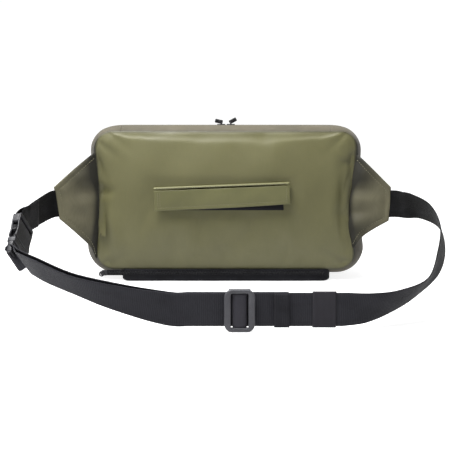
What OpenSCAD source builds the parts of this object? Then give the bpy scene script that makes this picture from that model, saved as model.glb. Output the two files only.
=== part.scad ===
// Waist-worn throw rope bag: a stuffed box pouch with padded wings and a webbing belt.
// Millimetres. +Z is up and +X is the wearer's left to right as seen from the belt side.
// The origin is the middle of the flat base, on the surface that the bag stands on.
// The wearer's side of the pouch faces -Y, and the belt ring reaches forward from it.

/* [Pouch] */
// Width of the back panel, seam to seam
panel_w = 376; // [350:2:400]
// Height of the back panel, seam to seam
panel_h = 199; // [185:1:210]
// Corner radius of the back and front panels
panel_r = 27; // [22:1:34]
// Depth of the pouch between its two panel seams
pouch_d = 104; // [96:2:120]
// Height of the base under the panels' bottom seam
base_h = 17; // [14:1:20]
// How far the top gusset stands above the panels' top seam
top_rise = 8; // [6:1:10]
// How far each side gusset bulges outward
side_bulge = 13; // [8:1:16]
// How far each panel bulges in its middle
panel_crown = 12; // [8:1:14]
// Thickness of the coated shell fabric with its backing
shell_t = 2.4; // [2:0.2:3]
// Length of the stiff black base
base_w = 300; // [280:2:304]

/* [Webbing] */
// Width of the belt webbing
web_w = 38; // [37:0.5:38]
// Thickness of the belt webbing
web_t = 1.6; // [1.4:0.1:1.8]
// Height of the webbing's lower edge above the surface at the belt's front
web_lift = 5; // [5:0.5:6]

/* [Wings] */
// Reach of each wing beyond the panel seam
wing_reach = 55; // [50:1:58]
// Thickness of the padded wings
wing_t = 4; // [3:0.5:5]
// Forward sweep of each wing
wing_sweep = 9; // [4:1:12]

/* [Zips] */
// Width of the woven zip tape
tape_w = 25; // [22:1:28]
// Width of the zip coil
coil_w = 5.6; // [5:0.2:6]
// Height of the zip coil
coil_h = 1.9; // [1.6:0.1:2]
// Length of a slider
slider_l = 12; // [10:1:13]

/* [Hidden] */

half_w = panel_w / 2;
half_d = pouch_d / 2;
z_bottom = base_h;
z_top = base_h + panel_h;
z_mid = (z_bottom + z_top) / 2;
strip_x = 150;
gap = 0.3;
olive = "#767455";
brown_olive = "#68614f";
black = "#1f1f24";
webbing = "#2c2b30";
plastic = "#38383e";

// ---------- Outline of the pouch, as points [x, z, normal x, normal z] ----------

arc_steps = 8;
function corner(cx, cz, from, to) = [
    for (i = [0:arc_steps])
    let (a = from + (to - from) * i / arc_steps)
    [cx + panel_r * cos(a), cz + panel_r * sin(a), cos(a), sin(a)]
];
function along(x0, z0, x1, z1, nx, nz, n) = [
    for (i = [1:n - 1]) [x0 + (x1 - x0) * i / n, z0 + (z1 - z0) * i / n, nx, nz]
];
side_x = half_w - panel_r;
side_low = z_bottom + panel_r;
side_high = z_top - panel_r;
left_side = concat(
    [[-base_w / 2, z_bottom, 0, -1]],
    corner(-side_x, side_low, 270, 180),
    along(-half_w, side_low, -half_w, side_high, -1, 0, 8),
    corner(-side_x, side_high, 180, 90),
    [[-strip_x, z_top, 0, 1]]
);
function flipped(path) = [for (i = [len(path) - 1:-1:0]) [-path[i][0], path[i][1], -path[i][2], path[i][3]]];
right_side = flipped(left_side);
whole_outline = concat(
    left_side,
    along(-strip_x, z_top, strip_x, z_top, 0, 1, 12),
    right_side,
    along(base_w / 2, z_bottom, -base_w / 2, z_bottom, 0, -1, 12)
);

// Bulge of the gusset at depth v (0 at the back seam, 1 at the front seam).
function mix(a, b, t) = a + (b - a) * t;
function bulge_size(nz) = nz < 0 ? mix(side_bulge, base_h, -nz) : mix(side_bulge, top_rise, nz);
function bulge_power(nz) = nz < 0 ? mix(2.2, 8, -nz) : mix(2.2, 3.4, nz);
function bulge(nz, v) = bulge_size(nz) * min(1, 1.03 * (1 - pow(abs(2 * v - 1), bulge_power(nz))));
function skin(p, v, inset) =
    let (b = bulge(p[3], v) - inset)
    [p[0] + p[2] * b, -half_d + v * pouch_d, p[1] + p[3] * b];

// Two triangles for the quad a b c d.
function quad(a, b, c, d) = [[a, b, c], [a, c, d]];
function flat_list(lists) = [for (l = lists) for (e = l) e];

// A curved plate between two grids of points, each with rows x cols points.
module plate(outer, inner, rows, cols) {
    n = rows * cols;
    faces = flat_list(concat(
        [for (r = [0:rows - 2]) for (c = [0:cols - 2])
            let (i = r * cols + c) quad(i, i + 1, i + cols + 1, i + cols)],
        [for (r = [0:rows - 2]) for (c = [0:cols - 2])
            let (i = n + r * cols + c) quad(i + cols, i + cols + 1, i + 1, i)],
        [for (r = [0:rows - 2]) let (i = r * cols) quad(i, i + cols, n + i + cols, n + i)],
        [for (r = [0:rows - 2]) let (i = r * cols + cols - 1) quad(i + cols, i, n + i, n + i + cols)],
        [for (c = [0:cols - 2]) quad(c + 1, c, n + c, n + c + 1)],
        [for (c = [0:cols - 2]) let (i = (rows - 1) * cols + c) quad(i, i + 1, n + i + 1, n + i)]
    ));
    polyhedron(points = concat(outer, inner), faces = faces, convexity = 6);
}

// A stretch of the gusset from depth v0 to v1, between two insets from the outer skin.
module gusset(path, v0, v1, steps, inset0, inset1) {
    v_list = [for (k = [0:steps]) mix(v0, v1, 0.5 - 0.5 * cos(180 * k / steps))];
    grid0 = [for (p = path) for (v = v_list) skin(p, v, inset0)];
    grid1 = [for (p = path) for (v = v_list) skin(p, v, inset1)];
    plate(grid0, grid1, len(path), steps + 1);
}

// The gusset profile across the depth, as a plate drawn in the YZ plane and run along X.
module strip_along_x(nz, z_seam, v0, v1, steps, thick, length) {
    v_list = [for (k = [0:steps]) mix(v0, v1, 0.5 - 0.5 * cos(180 * k / steps))];
    outer = [for (v = v_list) [-half_d + v * pouch_d, z_seam + nz * bulge(nz, v)]];
    inner = [for (k = [steps:-1:0])
        let (v = v_list[k]) [-half_d + v * pouch_d, z_seam + nz * (bulge(nz, v) - thick)]];
    rotate([90, 0, 90])
        linear_extrude(height = length, center = true)
            polygon(concat(outer, inner));
}

// A domed panel that closes the pouch at one seam; side is -1 for the back, 1 for the front.
dome_rings = [1, 0.96, 0.88, 0.74, 0.56, 0.36, 0.16];
function dome(s) = panel_crown * (1 - pow(s, 3.5));
function dome_ring(s, side, lift) = [
    for (p = whole_outline)
    [p[0] * s, side * (half_d + lift + dome(s)), z_mid + (p[1] - z_mid) * s]
];
module domed_panel(side) {
    n = len(whole_outline);
    rings = len(dome_rings);
    outer = [for (s = dome_rings) for (p = dome_ring(s, side, shell_t)) p];
    inner = [for (s = dome_rings) for (p = dome_ring(s, side, 0)) p];
    tip_out = 2 * n * rings;
    tips = [[0, side * (half_d + shell_t + panel_crown), z_mid], [0, side * (half_d + panel_crown), z_mid]];
    base = n * rings;
    loop = [for (i = [0:n - 1]) i];
    faces = concat(
        flat_list([for (r = [0:rings - 2]) for (i = loop)
            let (a = r * n + i, b = r * n + (i + 1) % n) quad(a, a + n, b + n, b)]),
        flat_list([for (r = [0:rings - 2]) for (i = loop)
            let (a = base + r * n + i, b = base + r * n + (i + 1) % n) quad(b, b + n, a + n, a)]),
        flat_list([for (i = loop) let (j = (i + 1) % n) quad(j, base + j, base + i, i)]),
        [for (i = loop) [(rings - 1) * n + i, tip_out, (rings - 1) * n + (i + 1) % n]],
        [for (i = loop) [base + (rings - 1) * n + (i + 1) % n, tip_out + 1, base + (rings - 1) * n + i]]
    );
    turned = side < 0 ? faces : [for (f = faces) [f[2], f[1], f[0]]];
    polyhedron(points = concat(outer, inner, tips), faces = turned, convexity = 6);
}

module rounded_plate(w, h, r, t) {
    rotate([90, 0, 0])
        linear_extrude(height = t, center = true)
            translate([-w / 2 + r, -h / 2 + r])
                offset(r = r, $fn = 32)
                    square([w - 2 * r, h - 2 * r]);
}

// ---------- Pouch shell ----------

module back_panel() {
    color(olive) domed_panel(-1);
}

module front_panel() {
    color(brown_olive) domed_panel(1);
}

module left_gusset() {
    color(brown_olive) gusset(left_side, 0, 1, 8, 0, shell_t);
}

module right_gusset() {
    color(brown_olive) gusset(right_side, 0, 1, 8, 0, shell_t);
}

zip_slot = 20;
slot_v = zip_slot / pouch_d / 2;
module top_strip_rear() {
    color(brown_olive) strip_along_x(1, z_top, 0, 0.5 - slot_v, 6, shell_t, 2 * strip_x);
}

module top_strip_front() {
    color(brown_olive) strip_along_x(1, z_top, 0.5 + slot_v, 1, 6, shell_t, 2 * strip_x);
}

module base_panel() {
    color(black) strip_along_x(-1, z_bottom, 0, 1, 16, shell_t, base_w);
}

board_t = 3;
board_lift = 0.8;
module base_board() {
    color("#8f8f88")
        translate([0, 0, shell_t + board_t / 2 + board_lift])
            cube([base_w - 30, pouch_d - 46, board_t], center = true);
}

foam_t = 6;
foam_y = half_d - 6;
module back_foam_pad() {
    color("#4a4a4a")
        translate([0, -foam_y, z_mid])
            rounded_plate(panel_w - 20, panel_h - 20, panel_r - 8, foam_t);
}

module front_stiffener() {
    color("#5a5a5a")
        translate([0, foam_y, z_mid])
            rounded_plate(panel_w - 20, panel_h - 20, panel_r - 8, foam_t / 2);
}

binding_t = 1;
module seam_binding(v0, v1) {
    closed = concat(whole_outline, [whole_outline[0]]);
    half = ceil(len(closed) / 2);
    first = [for (i = [0:half]) closed[i]];
    second = [for (i = [half:len(closed) - 1]) closed[i]];
    gusset(first, v0, v1, 1, shell_t + gap, shell_t + gap + binding_t);
    gusset(second, v0, v1, 1, shell_t + gap, shell_t + gap + binding_t);
}

binding_v = 0.03;
module back_seam_binding() {
    color("#2a2a2a") seam_binding(0, binding_v);
}

module front_seam_binding() {
    color("#2a2a2a") seam_binding(1 - binding_v, 1);
}

// ---------- Stuffed inner sack that carries the rope ----------

sack_l = 300;
sack_r = 36;
sack_z = 104;
float_t = 22;
collar_l = 16;
module throw_sack() {
    color("#b5482c")
        translate([-sack_l / 2, 0, sack_z])
            rotate([0, 90, 0])
                difference() {
                    linear_extrude(height = sack_l)
                        scale([2.2, 1])
                            circle(r = sack_r, $fn = 48);
                    translate([0, 0, 6])
                        linear_extrude(height = float_t + 1)
                            scale([2.1, 1])
                                circle(r = sack_r - 3, $fn = 48);
                }
}

module sack_float_foam() {
    color("#e0d8c0")
        translate([-sack_l / 2 + 6.5, 0, sack_z])
            rotate([0, 90, 0])
                linear_extrude(height = float_t)
                    scale([2.05, 1])
                        circle(r = sack_r - 4, $fn = 48);
}

module sack_collar() {
    color("#26262a")
        translate([sack_l / 2 + gap, 0, sack_z])
            rotate([0, 90, 0])
                cylinder(r = 26, h = collar_l, $fn = 48);
}

loop_r = 12;
module sack_grab_loop() {
    color(webbing)
        translate([-sack_l / 2 - loop_r - 3, 0, sack_z])
            rotate([90, 0, 0])
                difference() {
                    cylinder(r = loop_r + 1.6, h = 20, center = true, $fn = 48);
                    cylinder(r = loop_r, h = 22, center = true, $fn = 48);
                }
}

// ---------- Wings ----------

wing_root_low = 30;
wing_root_high = 187;
wing_tip_low = 88;
wing_tip_high = 135;
wing_root_x = half_w + 1.5;
wing_y = -half_d - shell_t - 1.4;
wing_pad = 9;
module wing_outline() {
    polygon([
        [0, wing_root_low], [6, wing_root_low + 22], [wing_reach - 3, wing_tip_low],
        [wing_reach, wing_tip_high], [4, wing_root_high], [0, wing_root_high - 4]
    ]);
}

module wing_foam_outline() {
    offset(delta = -wing_pad) wing_outline();
}

module wing_place() {
    translate([wing_root_x, wing_y, 0])
        rotate([0, 0, -wing_sweep])
            rotate([90, 0, 0])
                children();
}

wing_foam_t = 1.6;
module wing() {
    color(brown_olive)
        wing_place()
            difference() {
                linear_extrude(height = wing_t) wing_outline();
                translate([0, 0, (wing_t - wing_foam_t) / 2 - 0.1])
                    linear_extrude(height = wing_foam_t + 0.2)
                        offset(delta = 0.2) wing_foam_outline();
            }
}

module wing_foam() {
    color("#4a4a4a")
        wing_place()
            translate([0, 0, (wing_t - wing_foam_t) / 2])
                linear_extrude(height = wing_foam_t) wing_foam_outline();
}

module right_wing() {
    wing();
}

module left_wing() {
    mirror([1, 0, 0]) wing();
}

module right_wing_foam() {
    wing_foam();
}

module left_wing_foam() {
    mirror([1, 0, 0]) wing_foam();
}

// ---------- Zips ----------

// Coil zip along X, centred at the origin with its coil standing on z = 0.
module coil_run(length) {
    translate([0, 0, coil_h / 2])
        cube([length, coil_w, coil_h], center = true);
}

// Slider that rides over a coil; its bail pin lies along Y at bail_z.
slider_w = 10.5;
slider_h = 4.6;
bail_z = 7.4;
bail_r = 0.9;
bail_w = 6;
module slider_body() {
    difference() {
        translate([0, 0, slider_h / 2 + 0.2])
            cube([slider_l, slider_w, slider_h], center = true);
        translate([0, 0, coil_h / 2])
            cube([slider_l + 2, coil_w + 2 * gap, coil_h + 2 * gap], center = true);
    }
    for (side = [-1, 1])
        translate([0, side * (bail_w / 2 + 0.7), bail_z / 2 + 1.8])
            cube([3.4, 1.4, bail_z - 1.4], center = true);
    translate([0, 0, bail_z])
        rotate([90, 0, 0])
            cylinder(r = bail_r, h = bail_w, center = true, $fn = 32);
}

// Pull that hangs on a bail pin at the origin and points along +X.
pull_l = 9;
pull_t = 2.8;
module pull_tab(width, length) {
    difference() {
        union() {
            rotate([90, 0, 0])
                cylinder(r = 2.4, h = width, center = true, $fn = 32);
            translate([length / 2, 0, 0])
                cube([length, width, pull_t], center = true);
            translate([length, 0, 0])
                cylinder(r = width / 2, h = pull_t, center = true, $fn = 32);
        }
        rotate([90, 0, 0])
            cylinder(r = bail_r + 0.1, h = width + 2, center = true, $fn = 32);
        translate([length - 1, 0, 0])
            cylinder(r = 1.4, h = pull_t + 2, center = true, $fn = 32);
    }
}

top_zip_z = z_top + top_rise - shell_t - 1;
top_slider_x = 7;
lean_left = 12;
lean_right = 28;
module top_zip_tape() {
    color(black)
        translate([0, 0, top_zip_z - 0.4])
            cube([2 * strip_x - 4, tape_w, 0.7], center = true);
}

module top_zip_coil() {
    color("#17171a")
        translate([0, 0, top_zip_z])
            coil_run(2 * strip_x - 20);
}

module top_zip_stops() {
    color("#55565a")
        for (side = [-1, 1])
            translate([side * (strip_x - 7.4), 0, top_zip_z + 1.2])
                cube([4, coil_w + 2, 2.4], center = true);
}

module top_slider(side) {
    color(plastic)
        translate([side * top_slider_x, 0, top_zip_z])
            slider_body();
}

module top_pull(side) {
    color("#26262b")
        translate([side * top_slider_x, 0, top_zip_z + bail_z])
            rotate([0, side > 0 ? -lean_right : 180 + lean_left, 0])
                pull_tab(bail_w - 0.8, pull_l);
}

module top_slider_left() {
    top_slider(-1);
}

module top_slider_right() {
    top_slider(1);
}

module top_pull_left() {
    top_pull(-1);
}

module top_pull_right() {
    top_pull(1);
}

// ---------- Back pocket ----------

flap_w = 191;
flap_h = 29;
flap_t = 1.5;
flap_x = -6.5;
flap_top_z = 136;
flap_tilt = -2.3;
flap_y = -half_d - shell_t - panel_crown;
flap_gap = 6;
pocket_zip_w = 160;
pocket_zip_drop = 17;
module flap_place() {
    translate([flap_x, flap_y, flap_top_z])
        rotate([0, flap_tilt, 0])
            children();
}

module pocket_flap() {
    color(olive)
        flap_place()
            translate([0, -flap_gap - flap_t / 2, 0]) {
                translate([0, 0, -flap_h / 2])
                    cube([flap_w, flap_t, flap_h], center = true);
                rotate([0, 90, 0])
                    cylinder(r = flap_t / 2, h = flap_w, center = true, $fn = 32);
            }
}

header_h = 3;
header_lift = 1.7;
module flap_header() {
    color(olive)
        flap_place()
            translate([0, -(flap_gap + flap_t) / 2 - 0.2, header_h / 2 + header_lift])
                cube([flap_w, flap_gap + flap_t - 0.4, header_h], center = true);
}

module pocket_bag() {
    color("#3a3a36")
        translate([flap_x, -foam_y - foam_t / 2 - 2.4, 92])
            rounded_plate(176, 108, 12, 2);
}

module pocket_zip_tape() {
    color(black)
        flap_place()
            translate([0, -0.5, -pocket_zip_drop])
                cube([pocket_zip_w + 8, 0.7, tape_w - 3], center = true);
}

module pocket_zip_coil() {
    color("#17171a")
        flap_place()
            translate([0, -0.9, -pocket_zip_drop])
                rotate([90, 0, 0])
                    coil_run(pocket_zip_w);
}

pocket_slider_x = -74;
module pocket_slider() {
    color(plastic)
        flap_place()
            translate([pocket_slider_x, -0.9, -pocket_zip_drop])
                rotate([90, 0, 0])
                    difference() {
                        union() {
                            translate([0, 0, 1.65])
                                cube([slider_l, slider_w - 2, 2.9], center = true);
                            translate([slider_l / 2 - 2.5, 0, 3.1])
                                cylinder(r = 1, h = 1.6, $fn = 32);
                        }
                        translate([0, 0, coil_h / 2])
                            cube([slider_l + 2, coil_w + 2 * gap, coil_h + 2 * gap], center = true);
                    }
}

module pocket_pull() {
    color("#26262b")
        flap_place()
            translate([pocket_slider_x + slider_l / 2 - 2.5, -0.9 - 4.1, -pocket_zip_drop])
                rotate([90, 0, 0])
                    difference() {
                        union() {
                            cylinder(r = 2.2, h = 1, center = true, $fn = 32);
                            translate([9, 0, 0])
                                cube([18, 3.6, 1], center = true);
                        }
                        cylinder(r = 1.1, h = 3, center = true, $fn = 32);
                    }
}

// ---------- Lower zip, along the seam between the back panel and the base ----------

lower_zip_y = -half_d - shell_t;
lower_zip_z = 12;
lower_zip_left = -172;
lower_zip_right = 150;
lower_slider_x = -176;
module lower_place(x) {
    translate([x, lower_zip_y, lower_zip_z])
        rotate([90, 0, 0])
            children();
}

module lower_zip_tape() {
    color(black)
        lower_place((lower_zip_left + lower_zip_right) / 2)
            translate([0, 0.6, 0.35])
                cube([lower_zip_right - lower_zip_left + 16, 8, 0.7], center = true);
}

module lower_zip_coil() {
    color("#17171a")
        lower_place((lower_zip_left + lower_zip_right) / 2)
            translate([0, 0.6, 0.8])
                coil_run(lower_zip_right - lower_zip_left + 10);
}

peg_r = 0.9;
peg_head_r = 2.6;
peg_base = 3.1;
peg_l = 3;
module lower_slider() {
    color(plastic)
        lower_place(lower_slider_x)
            translate([0, 0.6, 0.8]) {
                difference() {
                    translate([0, 0, 1.65])
                        cube([slider_l - 2, slider_w - 2.5, 2.9], center = true);
                    translate([0, 0, coil_h / 2])
                        cube([slider_l + 2, coil_w + 2 * gap, coil_h + 2 * gap], center = true);
                }
                translate([-2, 0, peg_base - 0.1])
                    cylinder(r = peg_r, h = peg_l, $fn = 32);
                translate([-2, 0, peg_base + peg_l - 0.8])
                    cylinder(r = peg_head_r, h = 0.8, $fn = 32);
            }
}

lower_loop_r = 3.2;
lower_loop_t = 0.8;
module lower_pull_loop() {
    drop = lower_loop_r - lower_loop_t - peg_r - 0.1;
    color("#26262b")
        lower_place(lower_slider_x)
            translate([-2 - drop * 0.6, 0.6 - drop * 0.8, 0.8 + peg_base + 1.1])
                rotate_extrude($fn = 48)
                    translate([lower_loop_r, 0])
                        circle(r = lower_loop_t, $fn = 16);
}

// ---------- Belt ----------

// Each belt route is a list of [x, y, z, lean], where lean is the outward tilt of the top edge.
web_z = web_lift + web_w / 2;
front_y = -336;
straight_left = -62;
straight_right = 130;
right_route = [
    [straight_right, front_y, web_z, 0], [160, -329, 24, 18], [192, -313, 28, 34], [228, -290, 40, 40],
    [254, -258, 64, 16], [269, -215, 88, -7], [270, -167, 108, -27], [258, -114, 115, -25],
    [247, -84, 114, -8], [246, -70, 113, 0]
];
left_front_route = [
    [straight_left + 20, front_y, web_z, 0], [straight_left, front_y, web_z, 4], [-108, -332, 32, 24],
    [-165, -320, 45, 39], [-217, -283, 57, 34], [-246, -240, 59, 35]
];
left_route = [[-246, -70, 114, 0], [-254, -98, 108, 3], [-260, -128, 104, 8], [-263, -147, 101, 10]];

function spline_point(a, b, c, d, t) =
    0.5 * (2 * b + (c - a) * t + (2 * a - 5 * b + 4 * c - d) * t * t + (3 * b - a - 3 * c + d) * t * t * t);
function spline(points, n) =
    let (
        m = len(points),
        p = concat([2 * points[0] - points[1]], points, [2 * points[m - 1] - points[m - 2]])
    )
    concat(
        [for (i = [1:m - 1]) for (k = [0:n - 1]) spline_point(p[i - 1], p[i], p[i + 1], p[i + 2], k / n)],
        [points[m - 1]]
    );
function xyz(p) = [p[0], p[1], p[2]];
function unit(v) = v / norm(v);

// Edge directions of the ribbon at route point i: [out of the ring, up along the width].
function ribbon_frame(route, i) =
    let (
        ahead = unit(xyz(route[min(i + 1, len(route) - 1)]) - xyz(route[max(i - 1, 0)])),
        side = unit(cross(ahead, [0, 0, 1])),
        up = cross(side, ahead),
        lean = route[i][3]
    )
    [side * cos(lean) - up * sin(lean), up * cos(lean) + side * sin(lean)];

// A flat webbing ribbon along a route; turn is 1 or -1 so that "out" points out of the ring.
module ribbon(line, turn, offset_out, width, thick) {
    route = [for (p = line) [p[0], p[1], p[2], turn * p[3]]];
    rings = len(route);
    corners = [[-1, 1], [1, 1], [1, -1], [-1, -1]];
    pts = [
        for (i = [0:rings - 1])
        let (f = ribbon_frame(route, i))
        for (c = corners)
        xyz(route[i]) + f[0] * (turn * offset_out + c[0] * thick / 2) + f[1] * c[1] * width / 2
    ];
    faces = concat(
        flat_list([for (i = [0:rings - 2]) for (k = [0:3])
            let (a = 4 * i + k, b = 4 * i + (k + 1) % 4) quad(a + 4, b + 4, b, a)]),
        quad(0, 1, 2, 3),
        quad(4 * rings - 1, 4 * rings - 2, 4 * rings - 3, 4 * rings - 4)
    );
    polyhedron(points = pts, faces = faces, convexity = 6);
}

route_steps = 5;
layer_gap = 2.8;
module left_strap() {
    color(webbing) ribbon(spline(left_route, route_steps), -1, 0, web_w, web_t);
}

// The strap's turned-back end, sewn on its inner side.
module left_strap_fold() {
    fold_route = [[-257.3, -112, 105.9, 5], [-260, -128, 104, 8], [-262.5, -144, 101.4, 9.7]];
    color(webbing) ribbon(spline(fold_route, 4), -1, -web_t - 0.4, web_w - 1, web_t);
}

module right_strap() {
    color(webbing) ribbon(spline(right_route, route_steps), 1, 0, web_w, web_t);
}

module front_strap_inner() {
    start = [straight_right - 0.3, front_y, web_z, 0];
    color(webbing) ribbon(concat([start], spline(left_front_route, route_steps)), -1, 0, web_w, web_t);
}

tail_end = 70;
module front_strap_outer() {
    start = [tail_end, front_y, web_z, 0];
    color("#3c3b41")
        ribbon(concat([start], spline(left_front_route, route_steps)), -1, layer_gap + web_t, web_w, web_t);
}

// ---------- Buckle ----------
// The buckle's own frame: +X from the socket to the plug, +Z up the width, -Y out of the ring.

buckle_at = [-265, -182, 77];
buckle_yaw = -92;
buckle_pitch = 44;
buckle_lean = 10;
module buckle_place() {
    translate(buckle_at)
        rotate([0, 0, buckle_yaw])
            rotate([0, buckle_pitch, 0])
                rotate([buckle_lean, 0, 0])
                    children();
}

buckle_w = 44;
buckle_t = 11;
cavity_w = 36;
cavity_t = 6.4;
socket_mouth = 6;
socket_back = -18;
socket_end = -32;
bar_l = 4.5;
slot_l = 5;
window_l = 4;
module socket_plan() {
    waist = buckle_w / 2 - 1;
    offset(r = 3, $fn = 32)
        offset(delta = -3)
            polygon([
                [socket_end, -waist], [socket_back, -waist], [socket_mouth, -buckle_w / 2],
                [socket_mouth, buckle_w / 2], [socket_back, waist], [socket_end, waist]
            ]);
}

module web_slot(x) {
    translate([x, 0, 0])
        cube([slot_l, buckle_t + 2, web_w + 1], center = true);
}

module buckle_socket() {
    reach = socket_mouth - socket_back + 4;
    color(plastic)
        buckle_place()
            difference() {
                rotate([90, 0, 0])
                    linear_extrude(height = buckle_t, center = true) socket_plan();
                translate([socket_back + reach / 2, 0, 0])
                    cube([reach, cavity_t, cavity_w], center = true);
                translate([socket_back + window_l + reach / 2, 0, 0])
                    cube([reach, cavity_t, buckle_w + 4], center = true);
                web_slot(socket_end + bar_l + slot_l / 2);
            }
}

plug_start = socket_mouth + 1;
plug_end = 32;
prong_l = 22;
prong_w = 9;
module buckle_plug() {
    color(plastic)
        buckle_place() {
            difference() {
                translate([(plug_start + plug_end) / 2, 0, 0])
                    cube([plug_end - plug_start, buckle_t, buckle_w - 1], center = true);
                web_slot(plug_end - bar_l - slot_l / 2);
            }
            translate([plug_start - prong_l / 2, 0, 0])
                cube([prong_l, cavity_t - 1, prong_w], center = true);
        }
}

arm_l = 22;
arm_w = 4;
arm_z = 12.5;
arm_gap = 0.5;
pad_l = 10;
module latch_arm(side) {
    root = plug_start - arm_gap - arm_w / 2;
    tip = plug_start - arm_l;
    color(plastic)
        buckle_place()
            mirror([0, 0, side > 0 ? 0 : 1])
                rotate([90, 0, 0]) {
                    linear_extrude(height = cavity_t - 1, center = true)
                        polygon([
                            [root, arm_z + arm_w / 2], [root, arm_z - arm_w / 2], [tip, arm_z - 1],
                            [tip, arm_z + 1.5], [tip + 4, buckle_w / 2 - 3], [tip + pad_l, buckle_w / 2 - 1],
                            [tip + pad_l + 2, arm_z + arm_w / 2]
                        ]);
                    translate([root, arm_z, 0])
                        cylinder(r = arm_w / 2, h = cavity_t - 1, center = true, $fn = 32);
                }
}

module latch_arm_upper() {
    latch_arm(1);
}

module latch_arm_lower() {
    latch_arm(-1);
}

// The webbing that turns round the plug's bar.
module plug_strap_loop() {
    inner_t = buckle_t + 2 * gap;
    color(webbing)
        buckle_place()
            translate([plug_end - bar_l / 2, 0, 0])
                difference() {
                    cube([bar_l + 2 * (web_t + gap), inner_t + 2 * web_t, web_w], center = true);
                    cube([bar_l + 2 * gap, inner_t, web_w + 2], center = true);
                }
}

// ---------- Belt slider and keeper ----------

belt_slider_x = 15;
belt_slider_w = 34;
belt_slider_h = 48;
slider_bar = 6.5;
slider_rail = (belt_slider_h - web_w) / 2 - 0.4;
outer_face_y = front_y - layer_gap - 1.5 * web_t;
module belt_slider() {
    color(plastic)
        translate([belt_slider_x, 0, belt_slider_h / 2]) {
            for (side = [-1, 1])
                translate([side * (belt_slider_w - slider_bar) / 2, outer_face_y - gap - 1.4, 0])
                    cube([slider_bar, 2.8, belt_slider_h], center = true);
            for (side = [-1, 1])
                translate([0, outer_face_y + 0.9, side * (belt_slider_h - slider_rail) / 2])
                    cube([belt_slider_w, 7.8, slider_rail], center = true);
            translate([0, front_y - web_t / 2 - 1.4, 0])
                cube([8, 2, belt_slider_h], center = true);
        }
}

keeper_x = 109;
keeper_l = 26;
keeper_t = 1.2;
module belt_keeper() {
    color("#26262a")
        translate([keeper_x, front_y, web_z])
            difference() {
                cube([keeper_l, web_t + 2 * (keeper_t + gap), web_w + 2 * (keeper_t + gap)], center = true);
                cube([keeper_l + 2, web_t + 2 * gap, web_w + 2 * gap], center = true);
            }
}

// ---------- The assembly ----------

back_panel();
front_panel();
left_gusset();
right_gusset();
top_strip_rear();
top_strip_front();
base_panel();
base_board();
back_foam_pad();
front_stiffener();
back_seam_binding();
front_seam_binding();
throw_sack();
sack_float_foam();
sack_collar();
sack_grab_loop();
left_wing();
right_wing();
left_wing_foam();
right_wing_foam();
top_zip_tape();
top_zip_coil();
top_zip_stops();
top_slider_left();
top_slider_right();
top_pull_left();
top_pull_right();
pocket_flap();
flap_header();
pocket_bag();
pocket_zip_tape();
pocket_zip_coil();
pocket_slider();
pocket_pull();
lower_zip_tape();
lower_zip_coil();
lower_slider();
lower_pull_loop();
left_strap();
left_strap_fold();
right_strap();
front_strap_inner();
front_strap_outer();
plug_strap_loop();
buckle_socket();
buckle_plug();
latch_arm_upper();
latch_arm_lower();
belt_slider();
belt_keeper();
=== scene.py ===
import math

import bpy
import bmesh
import numpy as np
from mathutils import Matrix, Vector, kdtree


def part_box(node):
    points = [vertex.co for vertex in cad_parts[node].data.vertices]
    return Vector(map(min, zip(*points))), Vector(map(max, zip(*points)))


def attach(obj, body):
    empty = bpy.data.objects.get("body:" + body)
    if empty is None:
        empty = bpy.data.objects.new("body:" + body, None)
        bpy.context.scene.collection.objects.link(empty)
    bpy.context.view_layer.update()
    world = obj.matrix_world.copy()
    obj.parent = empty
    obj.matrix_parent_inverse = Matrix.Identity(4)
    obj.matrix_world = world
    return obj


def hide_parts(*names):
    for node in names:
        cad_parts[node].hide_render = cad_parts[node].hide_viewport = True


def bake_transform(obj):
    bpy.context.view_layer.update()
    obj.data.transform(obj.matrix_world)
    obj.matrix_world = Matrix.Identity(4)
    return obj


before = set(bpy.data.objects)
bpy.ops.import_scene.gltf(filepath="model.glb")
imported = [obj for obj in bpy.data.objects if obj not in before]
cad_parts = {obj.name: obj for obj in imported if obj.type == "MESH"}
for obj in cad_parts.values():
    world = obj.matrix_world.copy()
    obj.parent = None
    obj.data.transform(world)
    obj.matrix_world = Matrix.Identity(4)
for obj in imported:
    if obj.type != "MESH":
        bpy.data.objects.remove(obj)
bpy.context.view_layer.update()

# Lengths in this script are millimetres, as in the CAD source, unless a comment says metres.
# Meshes are scaled to metres when they are made.
MM = 0.001
scene = bpy.context.scene


def cad_box_mm(node):
    """A CAD node's lowest and highest corners, in millimetres."""
    low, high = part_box(node)
    return np.array(low) / MM, np.array(high) / MM


# ---------- Camera and light ----------

CAMERA_AT = (0, -1.245, 0.237)
CAMERA_PITCH = math.radians(82.5)
SENSOR, LENS = 36, 66.74


def add_camera():
    data = bpy.data.cameras.new("camera")
    data.sensor_width = SENSOR
    data.lens = LENS
    camera = bpy.data.objects.new("camera", data)
    camera.location = CAMERA_AT
    camera.rotation_euler = (CAMERA_PITCH, 0, 0)
    scene.collection.objects.link(camera)
    scene.camera = camera


def add_light(name, place, target, size, watts):
    """A square lamp that shines from place towards target, both in metres, as is its size."""
    data = bpy.data.lights.new(name, "AREA")
    data.energy = watts
    data.size = size
    light = bpy.data.objects.new(name, data)
    light.location = place
    light.rotation_euler = (Vector(target) - Vector(place)).to_track_quat("-Z", "Y").to_euler()
    scene.collection.objects.link(light)


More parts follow.
